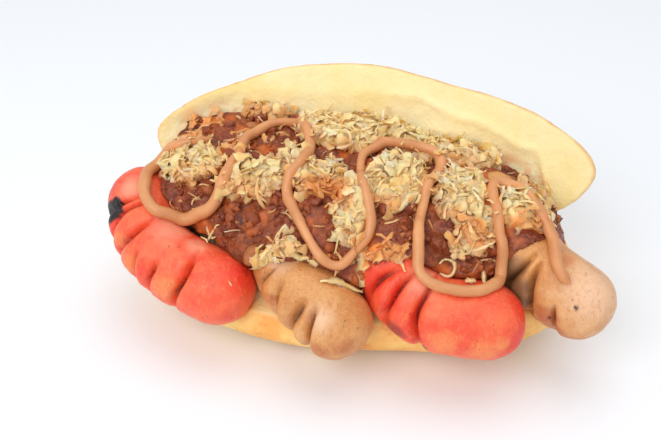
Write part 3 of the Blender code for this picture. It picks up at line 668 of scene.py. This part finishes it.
sauce_mesh = applied(add_object("sauce", source), "meat_sauce",
                     ("REMESH", {"mode": "VOXEL", "voxel_size": SAUCE_VOXEL}),
                     ("SMOOTH", {"factor": 0.5, "iterations": 5}))
neighbours = [tree_of(piece.data) for piece in (roll, *skins.values())]


def clear_of(trees, points, near, far):
    """0 where a point is nearer to any of the surfaces than near, 1 where it is further than far."""
    distance = np.full(len(points), far)
    for tree in trees:
        for k, point in enumerate(points):
            hit = tree.find_nearest(Vector(point), far)[3]
            if hit is not None and hit < distance[k]:
                distance[k] = hit
    return eased(distance, near, far)


def pebbles(points, size, seed=0.0):
    """Rounded lumps packed together, 1 on their tops and 0 in the seams between them."""
    near = np.array([noise.voronoi(p)[0][:2] for p in (points / size + seed).tolist()])
    return eased(near[:, 1] - near[:, 0], 0.0, 0.55)


at = coords(sauce_mesh)
# nothing stands out far over the heap's back edge
edges = stations(HEAP_EDGES, at[:, 0])
crest = edges[:, 3] + 0.0032 - 0.003 * eased(at[:, 1] - edges[:, 2], -0.006, 0.001)
at[:, 2] = np.where(at[:, 2] > crest, crest + 0.2 * (at[:, 2] - crest), at[:, 2])
set_coords(sauce_mesh, at)
facing = normals(sauce_mesh)
free = clear_of(neighbours, at, 0.0005, 0.0030)
mince = pebbles(at, 0.0060) * 0.0007 + pebbles(at, 0.0026, 4.0) * 0.0004
wet = eased(lumps(at, 0.014, 8.0), -0.2, 0.35)
relief = mince * (1 - 0.6 * wet) + 0.0007 * lumps(at, 0.0048, 2.0) + 0.00045 * lumps(at, 0.0021, 9.0) - 0.0006
set_coords(sauce_mesh, at + facing * (relief * free)[:, None])
paint(sauce_mesh, "grease", eased(lumps(at, 0.010, 5.5) + 0.4 * lumps(at, 0.003, 1.5), 0.10, 0.60))
paint(sauce_mesh, "shade", np.clip(0.45 + 0.5 * lumps(at, 0.006, 6.1), 0, 0.8))

meat, tree, shader = new_material("meat_sauce", 0.3, (0.1, (1.0, 0.4, 0.25), 0.0015))
position = object_place(tree)
mauve = ranged(tree, noise_of(tree, position, 90.0, 3.0, 0.5, 0.5), 0.50, 0.62, 0.0, 0.55)
fine_bits = ranged(tree, noise_of(tree, position, 620.0, 4.0, 0.65, 0.6), 0.50, 0.68, 0.0, 0.5)
dark_bits = ranged(tree, noise_of(tree, position, 480.0, 4.0, 0.6, 1.4), 0.50, 0.36, 0.0, 0.65)
shade = attribute(tree, "shade")
colour = layered(tree, mottled(tree, position, srgb(158, 77, 44), srgb(92, 34, 19), 190.0, 0.30),
                 (mauve, srgb(142, 73, 58)), (fine_bits, srgb(196, 118, 70)), (dark_bits, srgb(72, 24, 12)),
                 (ranged(tree, shade, 0.3, 0.85, 0.0, 0.5), srgb(160, 80, 40)),
                 (ranged(tree, shade, 0.86, 1.0, 0.0, 0.9), srgb(226, 160, 96)),
                 (attribute(tree, "grease", 0.75), srgb(216, 110, 44)))
shader.inputs["Specular IOR Level"].default_value = 0.3
tree.links.new(colour, shader.inputs["Base Color"])
gloss = ranged(tree, noise_of(tree, position, 300.0, 3.0), 0.3, 0.7, 0.14, 0.42)
tree.links.new(gloss, shader.inputs["Roughness"])
bump(tree, shader, noise_of(tree, position, 560.0, 5.0, 0.65, 0.5), 0.5, 0.0009)

sauce = add_object("meat_sauce_heap", sauce_mesh, meat)
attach(sauce, "root")
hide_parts("meat_sauce")

# the bread beside the heap has soaked up some of its fat
bread_at = coords(roll_mesh)
soaked = 1 - clear_of([tree_of(sauce_mesh)], bread_at, 0.0, 0.0075)
soaked *= eased(lumps(bread_at, 0.006, 3.8) + 0.5 * lumps(bread_at, 0.002, 0.4), -0.05, 0.5)
STAINS = ((-79, 40, 65, 8), (-70, 38, 70, 6))  # x, y, z and radius in mm
paint(roll_mesh, "stain", np.maximum(soaked, 0.9 * marked(bread_at, STAINS, 0.9)))


def geometry_tree(name, inputs):
    """A Geometry Nodes tree with a mesh in and out and the named inputs, and its input node's outputs."""
    tree = bpy.data.node_groups.new(name, "GeometryNodeTree")
    tree.interface.new_socket("Mesh", in_out="INPUT", socket_type="NodeSocketGeometry")
    for label, kind in inputs:
        tree.interface.new_socket(label, in_out="INPUT", socket_type=kind)
    tree.interface.new_socket("Mesh", in_out="OUTPUT", socket_type="NodeSocketGeometry")
    return tree, node(tree, "NodeGroupInput").outputs


def finish_tree(tree, geometry):
    """Ends the tree in Realize Instances and Set Material."""
    real = node(tree, "GeometryNodeRealizeInstances", {"Geometry": geometry}).outputs[0]
    group_in = tree.nodes["Group Input"].outputs
    coated = node(tree, "GeometryNodeSetMaterial",
                  {"Geometry": real, "Material": group_in["Material"]}).outputs[0]
    node(tree, "NodeGroupOutput", {0: coated})


def grown(base_mesh, tree, name, **values):
    """The plain mesh that a Geometry Nodes tree makes from a mesh, with its inputs set by identifier."""
    carrier = bpy.data.objects.new(name, base_mesh)
    bpy.context.scene.collection.objects.link(carrier)
    modifier = carrier.modifiers.new(name, "NODES")
    modifier.node_group = tree
    for item in tree.interface.items_tree:
        if item.in_out == "INPUT" and item.name in values:
            modifier[item.identifier] = values[item.name]
    mesh = bpy.data.meshes.new_from_object(carrier.evaluated_get(bpy.context.evaluated_depsgraph_get()))
    mesh.name = name
    carrier.modifiers.clear()
    bpy.data.objects.remove(carrier)
    return mesh


# scatters small pieces over a surface where its "density" attribute says, each turned and sized at random
scatter, scatter_in = geometry_tree("scatter", (
    ("Pieces", "NodeSocketCollection"), ("Amount", FLOAT), ("Smallest", FLOAT), ("Largest", FLOAT),
    ("Tilt", FLOAT), ("Sink", FLOAT), ("Lift", FLOAT), ("Seed", "NodeSocketInt"),
    ("Material", "NodeSocketMaterial")))
chance = node(scatter, "GeometryNodeInputNamedAttribute", {"Name": "density"}, data_type="FLOAT").outputs[0]
per_area = calc(scatter, "MULTIPLY", chance, scatter_in["Amount"])
spots = node(scatter, "GeometryNodeDistributePointsOnFaces",
             {"Mesh": scatter_in["Mesh"], "Density": per_area, "Seed": scatter_in["Seed"]},
             distribute_method="RANDOM")


def random_value(low, high, seed_offset):
    seed = calc(scatter, "ADD", scatter_in["Seed"], float(seed_offset))
    return node(scatter, "FunctionNodeRandomValue", {2: low, 3: high, 8: seed}, data_type="FLOAT").outputs[1]


tilt = scatter_in["Tilt"]
back_tilt = calc(scatter, "MULTIPLY", tilt, -1.0)
angles = (random_value(back_tilt, tilt, 11), random_value(back_tilt, tilt, 12), random_value(0.0, 6.2832, 13))
turned = node(scatter, "ShaderNodeCombineXYZ", dict(enumerate(angles))).outputs[0]
turned = node(scatter, "FunctionNodeEulerToRotation", {0: turned}).outputs[0]
spin = node(scatter, "FunctionNodeRotateRotation", {0: spots.outputs["Rotation"], 1: turned},
            rotation_space="LOCAL").outputs[0]
level = random_value(scatter_in["Sink"], scatter_in["Lift"], 14)
raised = node(scatter, "ShaderNodeVectorMath", {0: spots.outputs["Normal"], 3: level},
              operation="SCALE").outputs[0]
placed = node(scatter, "GeometryNodeSetPosition",
              {"Geometry": spots.outputs["Points"], "Offset": raised}).outputs[0]
kinds = node(scatter, "GeometryNodeCollectionInfo", {0: scatter_in["Pieces"], 1: True, 2: True}).outputs[0]
pick = node(scatter, "FunctionNodeRandomValue", {4: 0, 5: 99}, data_type="INT").outputs[2]
size = random_value(scatter_in["Smallest"], scatter_in["Largest"], 15)
strewn = node(scatter, "GeometryNodeInstanceOnPoints",
              {"Points": placed, "Instance": kinds, "Pick Instance": True, "Instance Index": pick,
               "Rotation": spin, "Scale": size}).outputs[0]
shaded = node(scatter, "GeometryNodeStoreNamedAttribute",
              {"Geometry": strewn, "Name": "shade", "Value": random_value(0.0, 1.0, 16)},
              data_type="FLOAT", domain="INSTANCE").outputs[0]
finish_tree(scatter, shaded)


def kinds_of(name, meshes):
    """A collection that holds one object for each mesh, outside the scene."""
    group = bpy.data.collections.new(name)
    for k, mesh in enumerate(meshes):
        group.objects.link(bpy.data.objects.new(f"{name}_{k}", mesh))
    return group


def crumb_mesh(name, radius, squeeze, seed, roughness):
    """A small rough lump."""
    shape = bmesh.new()
    bmesh.ops.create_icosphere(shape, subdivisions=2, radius=radius)
    for vertex in shape.verts:
        bulge = 1 + roughness * noise.noise(vertex.co / radius * 1.3 + Vector((seed, 0, 0)))
        vertex.co = vertex.co * Vector(squeeze) * bulge
    mesh = bpy.data.meshes.new(name)
    shape.to_mesh(mesh)
    shape.free()
    mesh.shade_smooth()
    return mesh


draw = random.Random(31)
mince_kinds = kinds_of("mince", [
    crumb_mesh("mince", 0.0011 * draw.uniform(0.7, 1.4),
               (draw.uniform(0.9, 1.8), 1.0, draw.uniform(0.6, 0.9)), 7.7 * k, 0.8) for k in range(8)])
paint(sauce_mesh, "density", free * eased(facing[:, 2], -0.1, 0.4) * (1 - 0.5 * wet))
mince_mesh = grown(sauce_mesh, scatter, "mince", Pieces=mince_kinds, Amount=75000.0, Smallest=0.6,
                   Largest=1.5, Tilt=1.2, Sink=-0.0009, Lift=0.0001, Seed=5, Material=meat)
crumb_at = coords(mince_mesh)
paint(mince_mesh, "grease", 0.6 * eased(lumps(crumb_at, 0.010, 5.5), 0.0, 0.5))
mince_piece = add_object("mince_crumbs", mince_mesh, meat)
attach(mince_piece, "root")

# soft beans and meat lumps, more than half sunk in the sauce
bean_kinds = kinds_of("bean", [
    crumb_mesh("bean", 0.0024 * draw.uniform(0.85, 1.15),
               (draw.uniform(1.2, 1.6), 1.0, draw.uniform(0.75, 0.9)), 3.3 * k, 0.35) for k in range(6)])
paint(sauce_mesh, "density", free * eased(facing[:, 2], -0.1, 0.4))
beans_mesh = grown(sauce_mesh, scatter, "beans", Pieces=bean_kinds, Amount=6500.0, Smallest=0.8,
                   Largest=1.25, Tilt=0.4, Sink=-0.0015, Lift=-0.0003, Seed=14, Material=meat)
paint(beans_mesh, "grease", 0.5 * eased(lumps(coords(beans_mesh), 0.012, 1.5), 0.0, 0.5))
beans = add_object("sauce_beans", beans_mesh, meat)
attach(beans, "root")


# ---- The sauerkraut ----
# Finely cut pickled cabbage, cream to pale straw and a little translucent, strewn over the sauce in loose
# patches. A matted bed holds them together; curled shreds by the hundred lie on it and hang over its edge.

KRAUT_PATCHES = (  # middle x, middle y, half width, half depth in mm, and how thick it lies
    (-68, 7, 12, 8, 0.9), (-40, -3, 12, 9, 1.0), (-16, -1, 12, 8, 1.0), (0, -12, 7, 11, 1.0),
    (14, 3, 12, 13, 1.0), (40, 4, 10, 13, 1.0), (48, -8, 8, 9, 0.9), (64, 0, 10, 9, 1.0),
    (-28, -29, 10, 3, 0.7), (42, -17, 6, 3, 0.5), (-7, 31, 24, 12, 1.0), (26, 31, 20, 11, 1.0),
    (44, 29, 10, 6, 0.8), (69, 17, 6, 8, 0.7), (-26, 8, 7, 6, 0.8), (-52, 14, 6, 5, 0.5),
    (14, -25, 8, 3, 0.5), (-70, 35, 11, 3, 0.45), (-74, 22, 6, 6, 0.5), (-38, 22, 7, 3, 0.4),
    (-45, 41, 10, 6, 0.85))


def heap_points(x, v):
    edge = stations(HEAP_EDGES, x)
    rise = 1 - (1 - v) ** 4.5
    lump = lumps(np.stack([x, v * 0.068, 0 * x], -1).reshape(-1, 3), 0.016).reshape(x.shape) * 0.0030
    z = edge[..., 1] + (edge[..., 3] - edge[..., 1]) * rise + lump * np.minimum(1, 6 * v)
    y = edge[..., 0] + (edge[..., 2] - edge[..., 0]) * v
    return np.stack([x, y, z], -1)


def spread(points, patches, edge, softness):
    """The most that any patch (middle x and y, half width, half depth in mm, amount) leaves at each point."""
    mm = points * 1000
    amount = np.zeros(len(points))
    for x, y, wide, deep, most in patches:
        gone = ((mm[:, 0] - x) / wide) ** 2 + ((mm[:, 1] - y) / deep) ** 2
        amount = np.maximum(amount, most * eased(edge - gone, 0.0, softness))
    return amount


def kraut_amount(points):
    """How thick the kraut lies at each point, from 0 to 1."""
    ragged = 0.30 * lumps(points, 0.006, 1.1) + 0.15 * lumps(points, 0.0025, 2.1)
    return spread(points, KRAUT_PATCHES, 1.25 + ragged, 0.6)


def drop_to(trees, points, fallback):
    """The height of the highest of the surfaces under each point."""
    found = np.full(len(points), fallback)
    for tree in trees:
        for k, (x, y, _) in enumerate(points):
            hit = tree.ray_cast(Vector((x, y, 0.2)), Vector((0, 0, -1)))[0]
            if hit is not None and hit.z > found[k]:
                found[k] = hit.z
    return found


COLUMNS, ROWS = 250, 110
BED_DEPTH = 0.0036  # how far the bed reaches down into the sauce
heap_x, heap_v = np.linspace(-0.086, 0.084, COLUMNS), np.linspace(0, 1, ROWS) ** 1.5 * 0.98 + 0.003
ground = heap_points(*np.meshgrid(heap_x, heap_v, indexing="ij"))
gradient_u = np.gradient(ground, axis=0)
gradient_v = np.gradient(ground, axis=1)
up = np.cross(gradient_u, gradient_v)
up /= np.linalg.norm(up, axis=-1)[..., None]
flat = ground.reshape(-1, 3)
up_flat = up.reshape(-1, 3)
sauce_tree = tree_of(sauce_mesh)
sauce_height = drop_to([sauce_tree], flat, 0.0)
flat[:, 2] = np.maximum(flat[:, 2] - 0.0005, np.where(sauce_height > 0, sauce_height, 0) - 0.0002)
amount = kraut_amount(flat)
matted = 1 - np.abs(lumps(flat * (1.0, 1.6, 1.0), 0.0024, 3.3)) * 1.3
thickness = amount * (0.0030 + 0.0016 * lumps(flat, 0.008, 4.1) + 0.0012 * matted) - (1 - amount) * 0.0022
top = flat + up_flat * thickness[:, None]
bottom = flat - up_flat * BED_DEPTH
faces = []
for i in range(COLUMNS - 1):
    for j in range(ROWS - 1):
        a, b, c, d = i * ROWS + j, (i + 1) * ROWS + j, (i + 1) * ROWS + j + 1, i * ROWS + j + 1
        faces.append((a, b, c, d))
        faces.append((a + len(top), d + len(top), c + len(top), b + len(top)))
rim = [i * ROWS for i in range(COLUMNS)] + [(COLUMNS - 1) * ROWS + j for j in range(1, ROWS)]
rim += [i * ROWS + ROWS - 1 for i in range(COLUMNS - 2, -1, -1)] + [j for j in range(ROWS - 2, 0, -1)]
for a, b in zip(rim, rim[1:] + rim[:1]):
    faces.append((b, a, a + len(top), b + len(top)))
bed_mesh = closed_mesh("sauerkraut_bed", np.concatenate([top, bottom]), faces)
paint(bed_mesh, "shade", np.tile(np.clip(0.5 + 0.6 * lumps(flat, 0.004, 6.0), 0, 1), 2))
TINTS = (  # the same measures, and how orange the kraut is
    (-11, -10, 11, 6, 1.0), (-52, 14, 10, 6, 0.8), (47, -13, 10, 4, 0.8), (12, -11, 8, 4, 0.7),
    (66, -9, 12, 4, 0.8), (-42, -11, 12, 3, 0.5), (20, 22, 8, 4, 0.5), (40, 22, 8, 5, 0.4),
    (14, -25, 12, 6, 1.0), (-63, 34, 22, 9, 0.85), (-74, 22, 8, 8, 0.7), (69, 17, 8, 8, 0.5),
    (-38, 22, 9, 6, 0.8))


def tinted(points):
    """How far the sauce has stained the kraut orange."""
    fringe = 0.6 * (1 - eased(kraut_amount(points), 0.35, 0.95))
    fringe *= eased(lumps(points, 0.009, 9.1), -0.45, 0.25)
    most = np.maximum(spread(points, TINTS, 1.3, 1.0), fringe)
    return np.clip(most + 0.25 * eased(lumps(points, 0.007, 7.7), 0.1, 0.6), 0, 1)


paint(bed_mesh, "tint", np.tile(tinted(flat), 2))
paint(bed_mesh, "density", np.concatenate([eased(amount, 0.15, 0.75), np.zeros(len(bottom))]))

kraut, tree, shader = new_material("sauerkraut", 0.38, (0.5, (1.0, 0.7, 0.35), 0.003))
position = object_place(tree)
shade = attribute(tree, "shade")
colour = layered(tree, mottled(tree, position, srgb(255, 232, 168), srgb(255, 209, 136), 260.0, 0.3),
                 (ranged(tree, shade, 0.62, 1.0, 0.0, 0.5), srgb(246, 184, 106)),
                 (ranged(tree, shade, 0.25, 0.0, 0.0, 0.8), srgb(255, 239, 196)),
                 (attribute(tree, "tint", 0.85), srgb(236, 132, 58)))
tree.links.new(colour, shader.inputs["Base Color"])
shader.inputs["Specular IOR Level"].default_value = 0.3
bump(tree, shader, noise_of(tree, position, 900.0, 3.0), 0.25, 0.0004)

bed = add_object("sauerkraut_bed", bed_mesh, kraut)
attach(bed, "root")


def shred_mesh(k):
    """A curled, twisted flake of cabbage with ruffled edges; every fourth is a long narrow shred."""
    draw = random.Random(400 + k)
    steps = 10
    narrow = k % 4 == 3
    length = draw.uniform(0.010, 0.015) if narrow else draw.uniform(0.0055, 0.0115)
    width = draw.uniform(0.0009, 0.0013) if narrow else draw.uniform(0.0020, 0.0046)
    thick = draw.uniform(0.0003, 0.0005)
    heading, pitch, roll_turn = 0.0, draw.uniform(-0.2, 0.7), draw.uniform(-0.6, 0.6)
    bend, arch, twist = draw.uniform(-3.2, 3.2), draw.uniform(-2.2, -0.3), draw.uniform(-1.6, 1.6)
    wave, left_phase, right_phase = draw.uniform(5, 9), draw.uniform(0, 6.3), draw.uniform(0, 6.3)
    place = Vector((-length / 2, 0, 0))
    corners, faces = [], []
    for n in range(steps):
        t = n / (steps - 1)
        flat_step = math.cos(pitch)
        ahead = Vector((math.cos(heading) * flat_step, math.sin(heading) * flat_step, math.sin(pitch)))
        side = ahead.cross(Vector((0, 0, 1))).normalized()
        side = Matrix.Rotation(roll_turn + twist * (t - 0.5), 3, ahead) @ side
        top = side.cross(ahead)
        taper = math.sin(math.pi * (0.16 + 0.84 * min(t, 1 - t)) ** 0.8) ** 0.5
        half_left = width / 2 * taper * draw.uniform(0.62, 1.35)
        half_right = width / 2 * taper * draw.uniform(0.62, 1.35)
        left_wave = top * width * 0.22 * math.sin(left_phase + wave * t)
        right_wave = top * width * 0.22 * math.sin(right_phase + wave * t)
        corners += [place - side * half_left + left_wave, place + top * thick / 2,
                    place + side * half_right + right_wave, place - top * thick / 2]
        place = place + ahead * length / (steps - 1)
        heading += bend / steps
        pitch += arch / steps
    middle = sum(corners, Vector()) / len(corners)
    corners = [c - middle for c in corners]
    for n in range(steps - 1):
        for c in range(4):
            a, b = 4 * n + c, 4 * n + (c + 1) % 4
            faces.append((a, b, b + 4, a + 4))
    last = 4 * (steps - 1)
    faces += [(0, 1, 2, 3), (last, last + 1, last + 2, last + 3)]
    mesh = closed_mesh("shred", corners, faces)
    mesh.shade_smooth()
    for edge in mesh.edges:
        edge.use_edge_sharp = all(v % 2 == 0 for v in edge.vertices)
    return mesh


shred_kinds = kinds_of("shred", [shred_mesh(k) for k in range(20)])
shreds_mesh = grown(bed_mesh, scatter, "sauerkraut_shreds", Pieces=shred_kinds, Amount=150000.0,
                    Smallest=0.65, Largest=1.35, Tilt=0.26, Sink=-0.0004, Lift=0.0008, Seed=9, Material=kraut)
paint(shreds_mesh, "tint", tinted(coords(shreds_mesh)))
shreds = add_object("sauerkraut_shreds", shreds_mesh, kraut)
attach(shreds, "root")

# single shreds that strayed into the sauce, half sunk and stained by it
stray_kinds = kinds_of("stray", [shred_mesh(k) for k in (3, 5, 7, 11, 15, 19, 22, 23)])
sauce_at = coords(sauce_mesh)
open_sauce = 1 - eased(kraut_amount(sauce_at), 0.05, 0.3)
paint(sauce_mesh, "density", free * open_sauce * eased(facing[:, 2], -0.2, 0.3))
strays_mesh = grown(sauce_mesh, scatter, "sauerkraut_strays", Pieces=stray_kinds, Amount=15000.0,
                    Smallest=0.45, Largest=0.95, Tilt=0.35, Sink=-0.0006, Lift=0.0004, Seed=21,
                    Material=kraut)
paint(strays_mesh, "tint", 0.3 + 0.6 * eased(lumps(coords(strays_mesh), 0.010, 2.7), -0.3, 0.4))
strays = add_object("sauerkraut_strays", strays_mesh, kraut)
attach(strays, "root")

FLAKES = (  # larger loose leaves: width in mm, then the points that each lies over, seen from above, in mm
    (4.6, (-26, -28), (-20, -31), (-15, -30), (-10, -31)),
    (3.2, (-8, -37), (-3, -34.5), (2, -32.5), (7, -31)),
    (7.0, (6, -22.5), (6.5, -26), (7.5, -30)), (4.2, (15, -11), (20, -8), (24, -3)),
    (0.8, (-43.5, -36.5), (-42, -38)),
    (1.7, (35, -24), (36.5, -21.5), (40, -21), (40.5, -24), (38, -26), (35.5, -25)),
    (1.0, (-3, -20), (-4.5, -26)), (1.4, (15, -26), (19, -27), (21, -28), (23, -31)),
    (2.2, (-58, -14), (-56, -16.5), (-53.5, -17.5)), (1.4, (-57, -18.5), (-55, -16), (-52, -16)),
    (1.0, (-60, -17), (-57.5, -18.5), (-56, -21)), (2.8, (45, -27), (47, -26.5), (49, -26)),
    (2.2, (51, -20), (52, -23), (52, -26)), (3.4, (8, 9), (12, 12), (16, 13)),
    (3.6, (7, 3), (12, 0), (15, 1)), (3.2, (-76, 9), (-67, 4), (-60, 2)),
    (2.8, (-82, 3), (-75, 0), (-65, -1)), (3.4, (-46, -7), (-40, -3), (-33, -2)),
    (3.6, (-22, -5), (-16, -1), (-9, -4)),
    (2.6, (-30, -6), (-27, 0), (-30, 6)), (3.0, (36, -2), (38, -9), (43, -13)),
    (2.6, (44, 4), (48, -2), (47, -8)), (3.0, (60, 5), (64, -1), (70, -4)),
    (2.4, (-10, 30), (-2, 34), (6, 33)), (2.6, (12, 34), (20, 31), (27, 33)),
    (2.2, (36, 28), (43, 25), (50, 27)))
under = [tree_of(bed_mesh), sauce_tree, tree_of(roll_mesh)]
under += [tree_of(piece.data) for piece in skins.values()]
FLAKE_STEP, FLAKE_LIFT, FLAKE_HALF_THICKNESS = 0.0011, 0.0009, 0.0003
NOTHING_UNDER = 0.03  # the height that a line keeps where no surface lies under it
flake_up = Vector((0, -0.35, 0.94)).normalized()
corners, faces = [], []
draw = random.Random(77)
for width, *spots in FLAKES:
    line, _ = smooth_line([(x / 1000, y / 1000, 0) for x, y in spots], FLAKE_STEP)
    beneath = np.pad(drop_to(under, line, NOTHING_UNDER), 2, mode="edge")
    line[:, 2] = np.convolve(beneath, np.full(5, 0.2), mode="valid") + FLAKE_LIFT
    left_phase, right_phase = draw.uniform(0, 6.3), draw.uniform(0, 6.3)
    first = len(corners)
    for k, place in enumerate(line):
        t = k / (len(line) - 1)
        ahead = Vector(line[min(k + 1, len(line) - 1)] - line[max(k - 1, 0)]).normalized()
        side = ahead.cross(flake_up).normalized()
        up = side.cross(ahead)
        half = width / 2000 * math.sin(math.pi * min(0.93, max(0.07, t))) ** 0.45
        ripple = min(0.0009, half * 0.5)
        place = Vector(place) + up * 0.0005 * draw.random()
        left_wave, right_wave = (up * ripple * math.sin(phase + 9 * t) for phase in (left_phase, right_phase))
        thick = up * FLAKE_HALF_THICKNESS
        corners += [place - side * half * draw.uniform(0.8, 1.15) + left_wave, place + thick,
                    place + side * half * draw.uniform(0.8, 1.15) + right_wave, place - thick]
        if k:
            for c in range(4):
                a, b = first + 4 * k - 4 + c, first + 4 * k - 4 + (c + 1) % 4
                faces.append((a, b, b + 4, a + 4))
    faces += [(first, first + 3, first + 2, first + 1), tuple(range(len(corners) - 4, len(corners)))]
flakes_mesh = closed_mesh("sauerkraut_flakes", corners, faces)
flake_at = coords(flakes_mesh)
paint(flakes_mesh, "shade", np.clip(0.22 + 0.25 * lumps(flake_at, 0.005, 3.0), 0, 1))
paint(flakes_mesh, "tint", tinted(flake_at) * 0.5)
large_flakes = add_object("sauerkraut_flakes", flakes_mesh, kraut)
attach(large_flakes, "root")


# ---- The mustard ----
# A rope of light brown mustard, squeezed from a bottle in loops over everything, so it is round on top,
# swells and thins with the hand's speed, and sags between the high spots.

MUSTARD_RADIUS = 0.0022
MUSTARD_STEP = 0.0011
SAG_ROUNDS = 10
MUSTARD_LOOPS = (  # seen from above, in mm
    (-63, 18), (-68, 13), (-75, 11), (-82, 11), (-86, 4), (-86, -3), (-84, -10), (-78, -15), (-71, -13),
    (-63, -12), (-56, -12), (-52, -9), (-51, -4), (-49, 4), (-49, 12), (-47, 22), (-43, 29), (-37, 32),
    (-29, 29), (-23, 20), (-21, 9), (-23, -1), (-26, -7), (-25, -12), (-20, -19), (-15, -25), (-9, -30),
    (-4, -30), (-1, -29), (3, -25), (7, -22), (8, -18), (6, -13), (3, -7), (1, 1), (0, 9), (1, 16),
    (6, 21), (14, 23), (23, 24), (30, 21), (31, 15), (29, 7), (27, -1), (26, -9), (26, -19), (27, -25),
    (28, -30), (33, -33), (42, -34), (51, -32), (57, -25), (58, -18), (56, -13), (55, -7), (53, 0),
    (52, 6), (54, 10), (59, 9), (65, 4), (69, -1), (73, -5), (76, -10), (77, -16), (79, -22), (83, -26))
MUSTARD_SWELL = (  # x, and how full the line runs there
    (-0.088, 1.10), (-0.060, 1.18), (-0.045, 0.95), (-0.020, 0.92), (-0.004, 0.80), (0.010, 0.95),
    (0.030, 1.0), (0.060, 1.05), (0.085, 1.05))

path, _ = smooth_line([(x / 1000, y / 1000, 0) for x, y in MUSTARD_LOOPS], MUSTARD_STEP)
shifts = np.array(((0, 0, 0), (1, 0, 0), (-1, 0, 0), (0, 1, 0), (0, -1, 0))) * 0.0012
rest_height = np.max([drop_to(under, path + shift, NOTHING_UNDER) for shift in shifts], 0)
height = rest_height + MUSTARD_RADIUS * 0.72
for _ in range(SAG_ROUNDS):
    padded = np.concatenate([height[:1], height, height[-1:]])
    sagged = (padded[:-2] + padded[1:-1] * 2 + padded[2:]) / 4
    height = np.maximum(rest_height + MUSTARD_RADIUS * 0.45, sagged)
path[:, 2] = height
rope_mesh = bpy.data.meshes.new("mustard_path")
rope_mesh.from_pydata([tuple(p) for p in path], [(k, k + 1) for k in range(len(path) - 1)], [])
travelled = np.arange(len(path)) * MUSTARD_STEP
ends = np.minimum(travelled, travelled[::-1])
swell = 1 + 0.16 * lumps(path, 0.016, 3.0) + 0.08 * lumps(path, 0.005, 4.0)
swell *= stations(MUSTARD_SWELL, path[:, 0])[:, 0] * (0.55 + 0.45 * eased(travelled, 0.0, 0.022))
paint(rope_mesh, "thickness", MUSTARD_RADIUS * swell * np.sqrt(np.clip(ends / 0.003, 0.02, 1)))

rope, rope_in = geometry_tree("mustard_rope", (
    ("Spacing", FLOAT), ("Sides", "NodeSocketInt"), ("Wobble", FLOAT), ("Material", "NodeSocketMaterial")))
line = node(rope, "GeometryNodeMeshToCurve", {0: rope_in["Mesh"]}).outputs[0]
line = node(rope, "GeometryNodeResampleCurve", {"Curve": line, "Length": rope_in["Spacing"]},
            mode="LENGTH").outputs[0]
wide = node(rope, "GeometryNodeInputNamedAttribute", {"Name": "thickness"}, data_type="FLOAT").outputs[0]
ring = node(rope, "GeometryNodeCurvePrimitiveCircle",
            {"Resolution": rope_in["Sides"], "Radius": 1.0}).outputs[0]
tube = node(rope, "GeometryNodeCurveToMesh", {"Curve": line, "Profile Curve": ring, "Scale": wide,
                                              "Fill Caps": True}).outputs[0]
waves = node(rope, "ShaderNodeTexNoise", {"Scale": 170.0, "Detail": 2.0}).outputs[0]
push = calc(rope, "MULTIPLY", calc(rope, "SUBTRACT", waves, 0.5), rope_in["Wobble"])
push = node(rope, "ShaderNodeVectorMath", {0: node(rope, "GeometryNodeInputNormal").outputs[0], 3: push},
            operation="SCALE").outputs[0]
tube = node(rope, "GeometryNodeSetPosition", {"Geometry": tube, "Offset": push}).outputs[0]
finish_tree(rope, tube)

mustard_paint, tree, shader = new_material("mustard", 0.4, (0.1, (1.0, 0.6, 0.3), 0.0015))
position = object_place(tree)
colour = mottled(tree, position, srgb(224, 158, 104), srgb(202, 134, 84), 60.0, 0.35)
tree.links.new(colour, shader.inputs["Base Color"])
bump(tree, shader, noise_of(tree, position, 420.0, 3.0), 0.12, 0.0006)
mustard_mesh = grown(rope_mesh, rope, "mustard", Spacing=0.0007, Sides=20, Wobble=0.0009,
                     Material=mustard_paint)
mustard = add_object("mustard_line", mustard_mesh, mustard_paint)
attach(mustard, "root")
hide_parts("sauerkraut")


# ---- A last update of the view layer ----
bpy.context.view_layer.update()
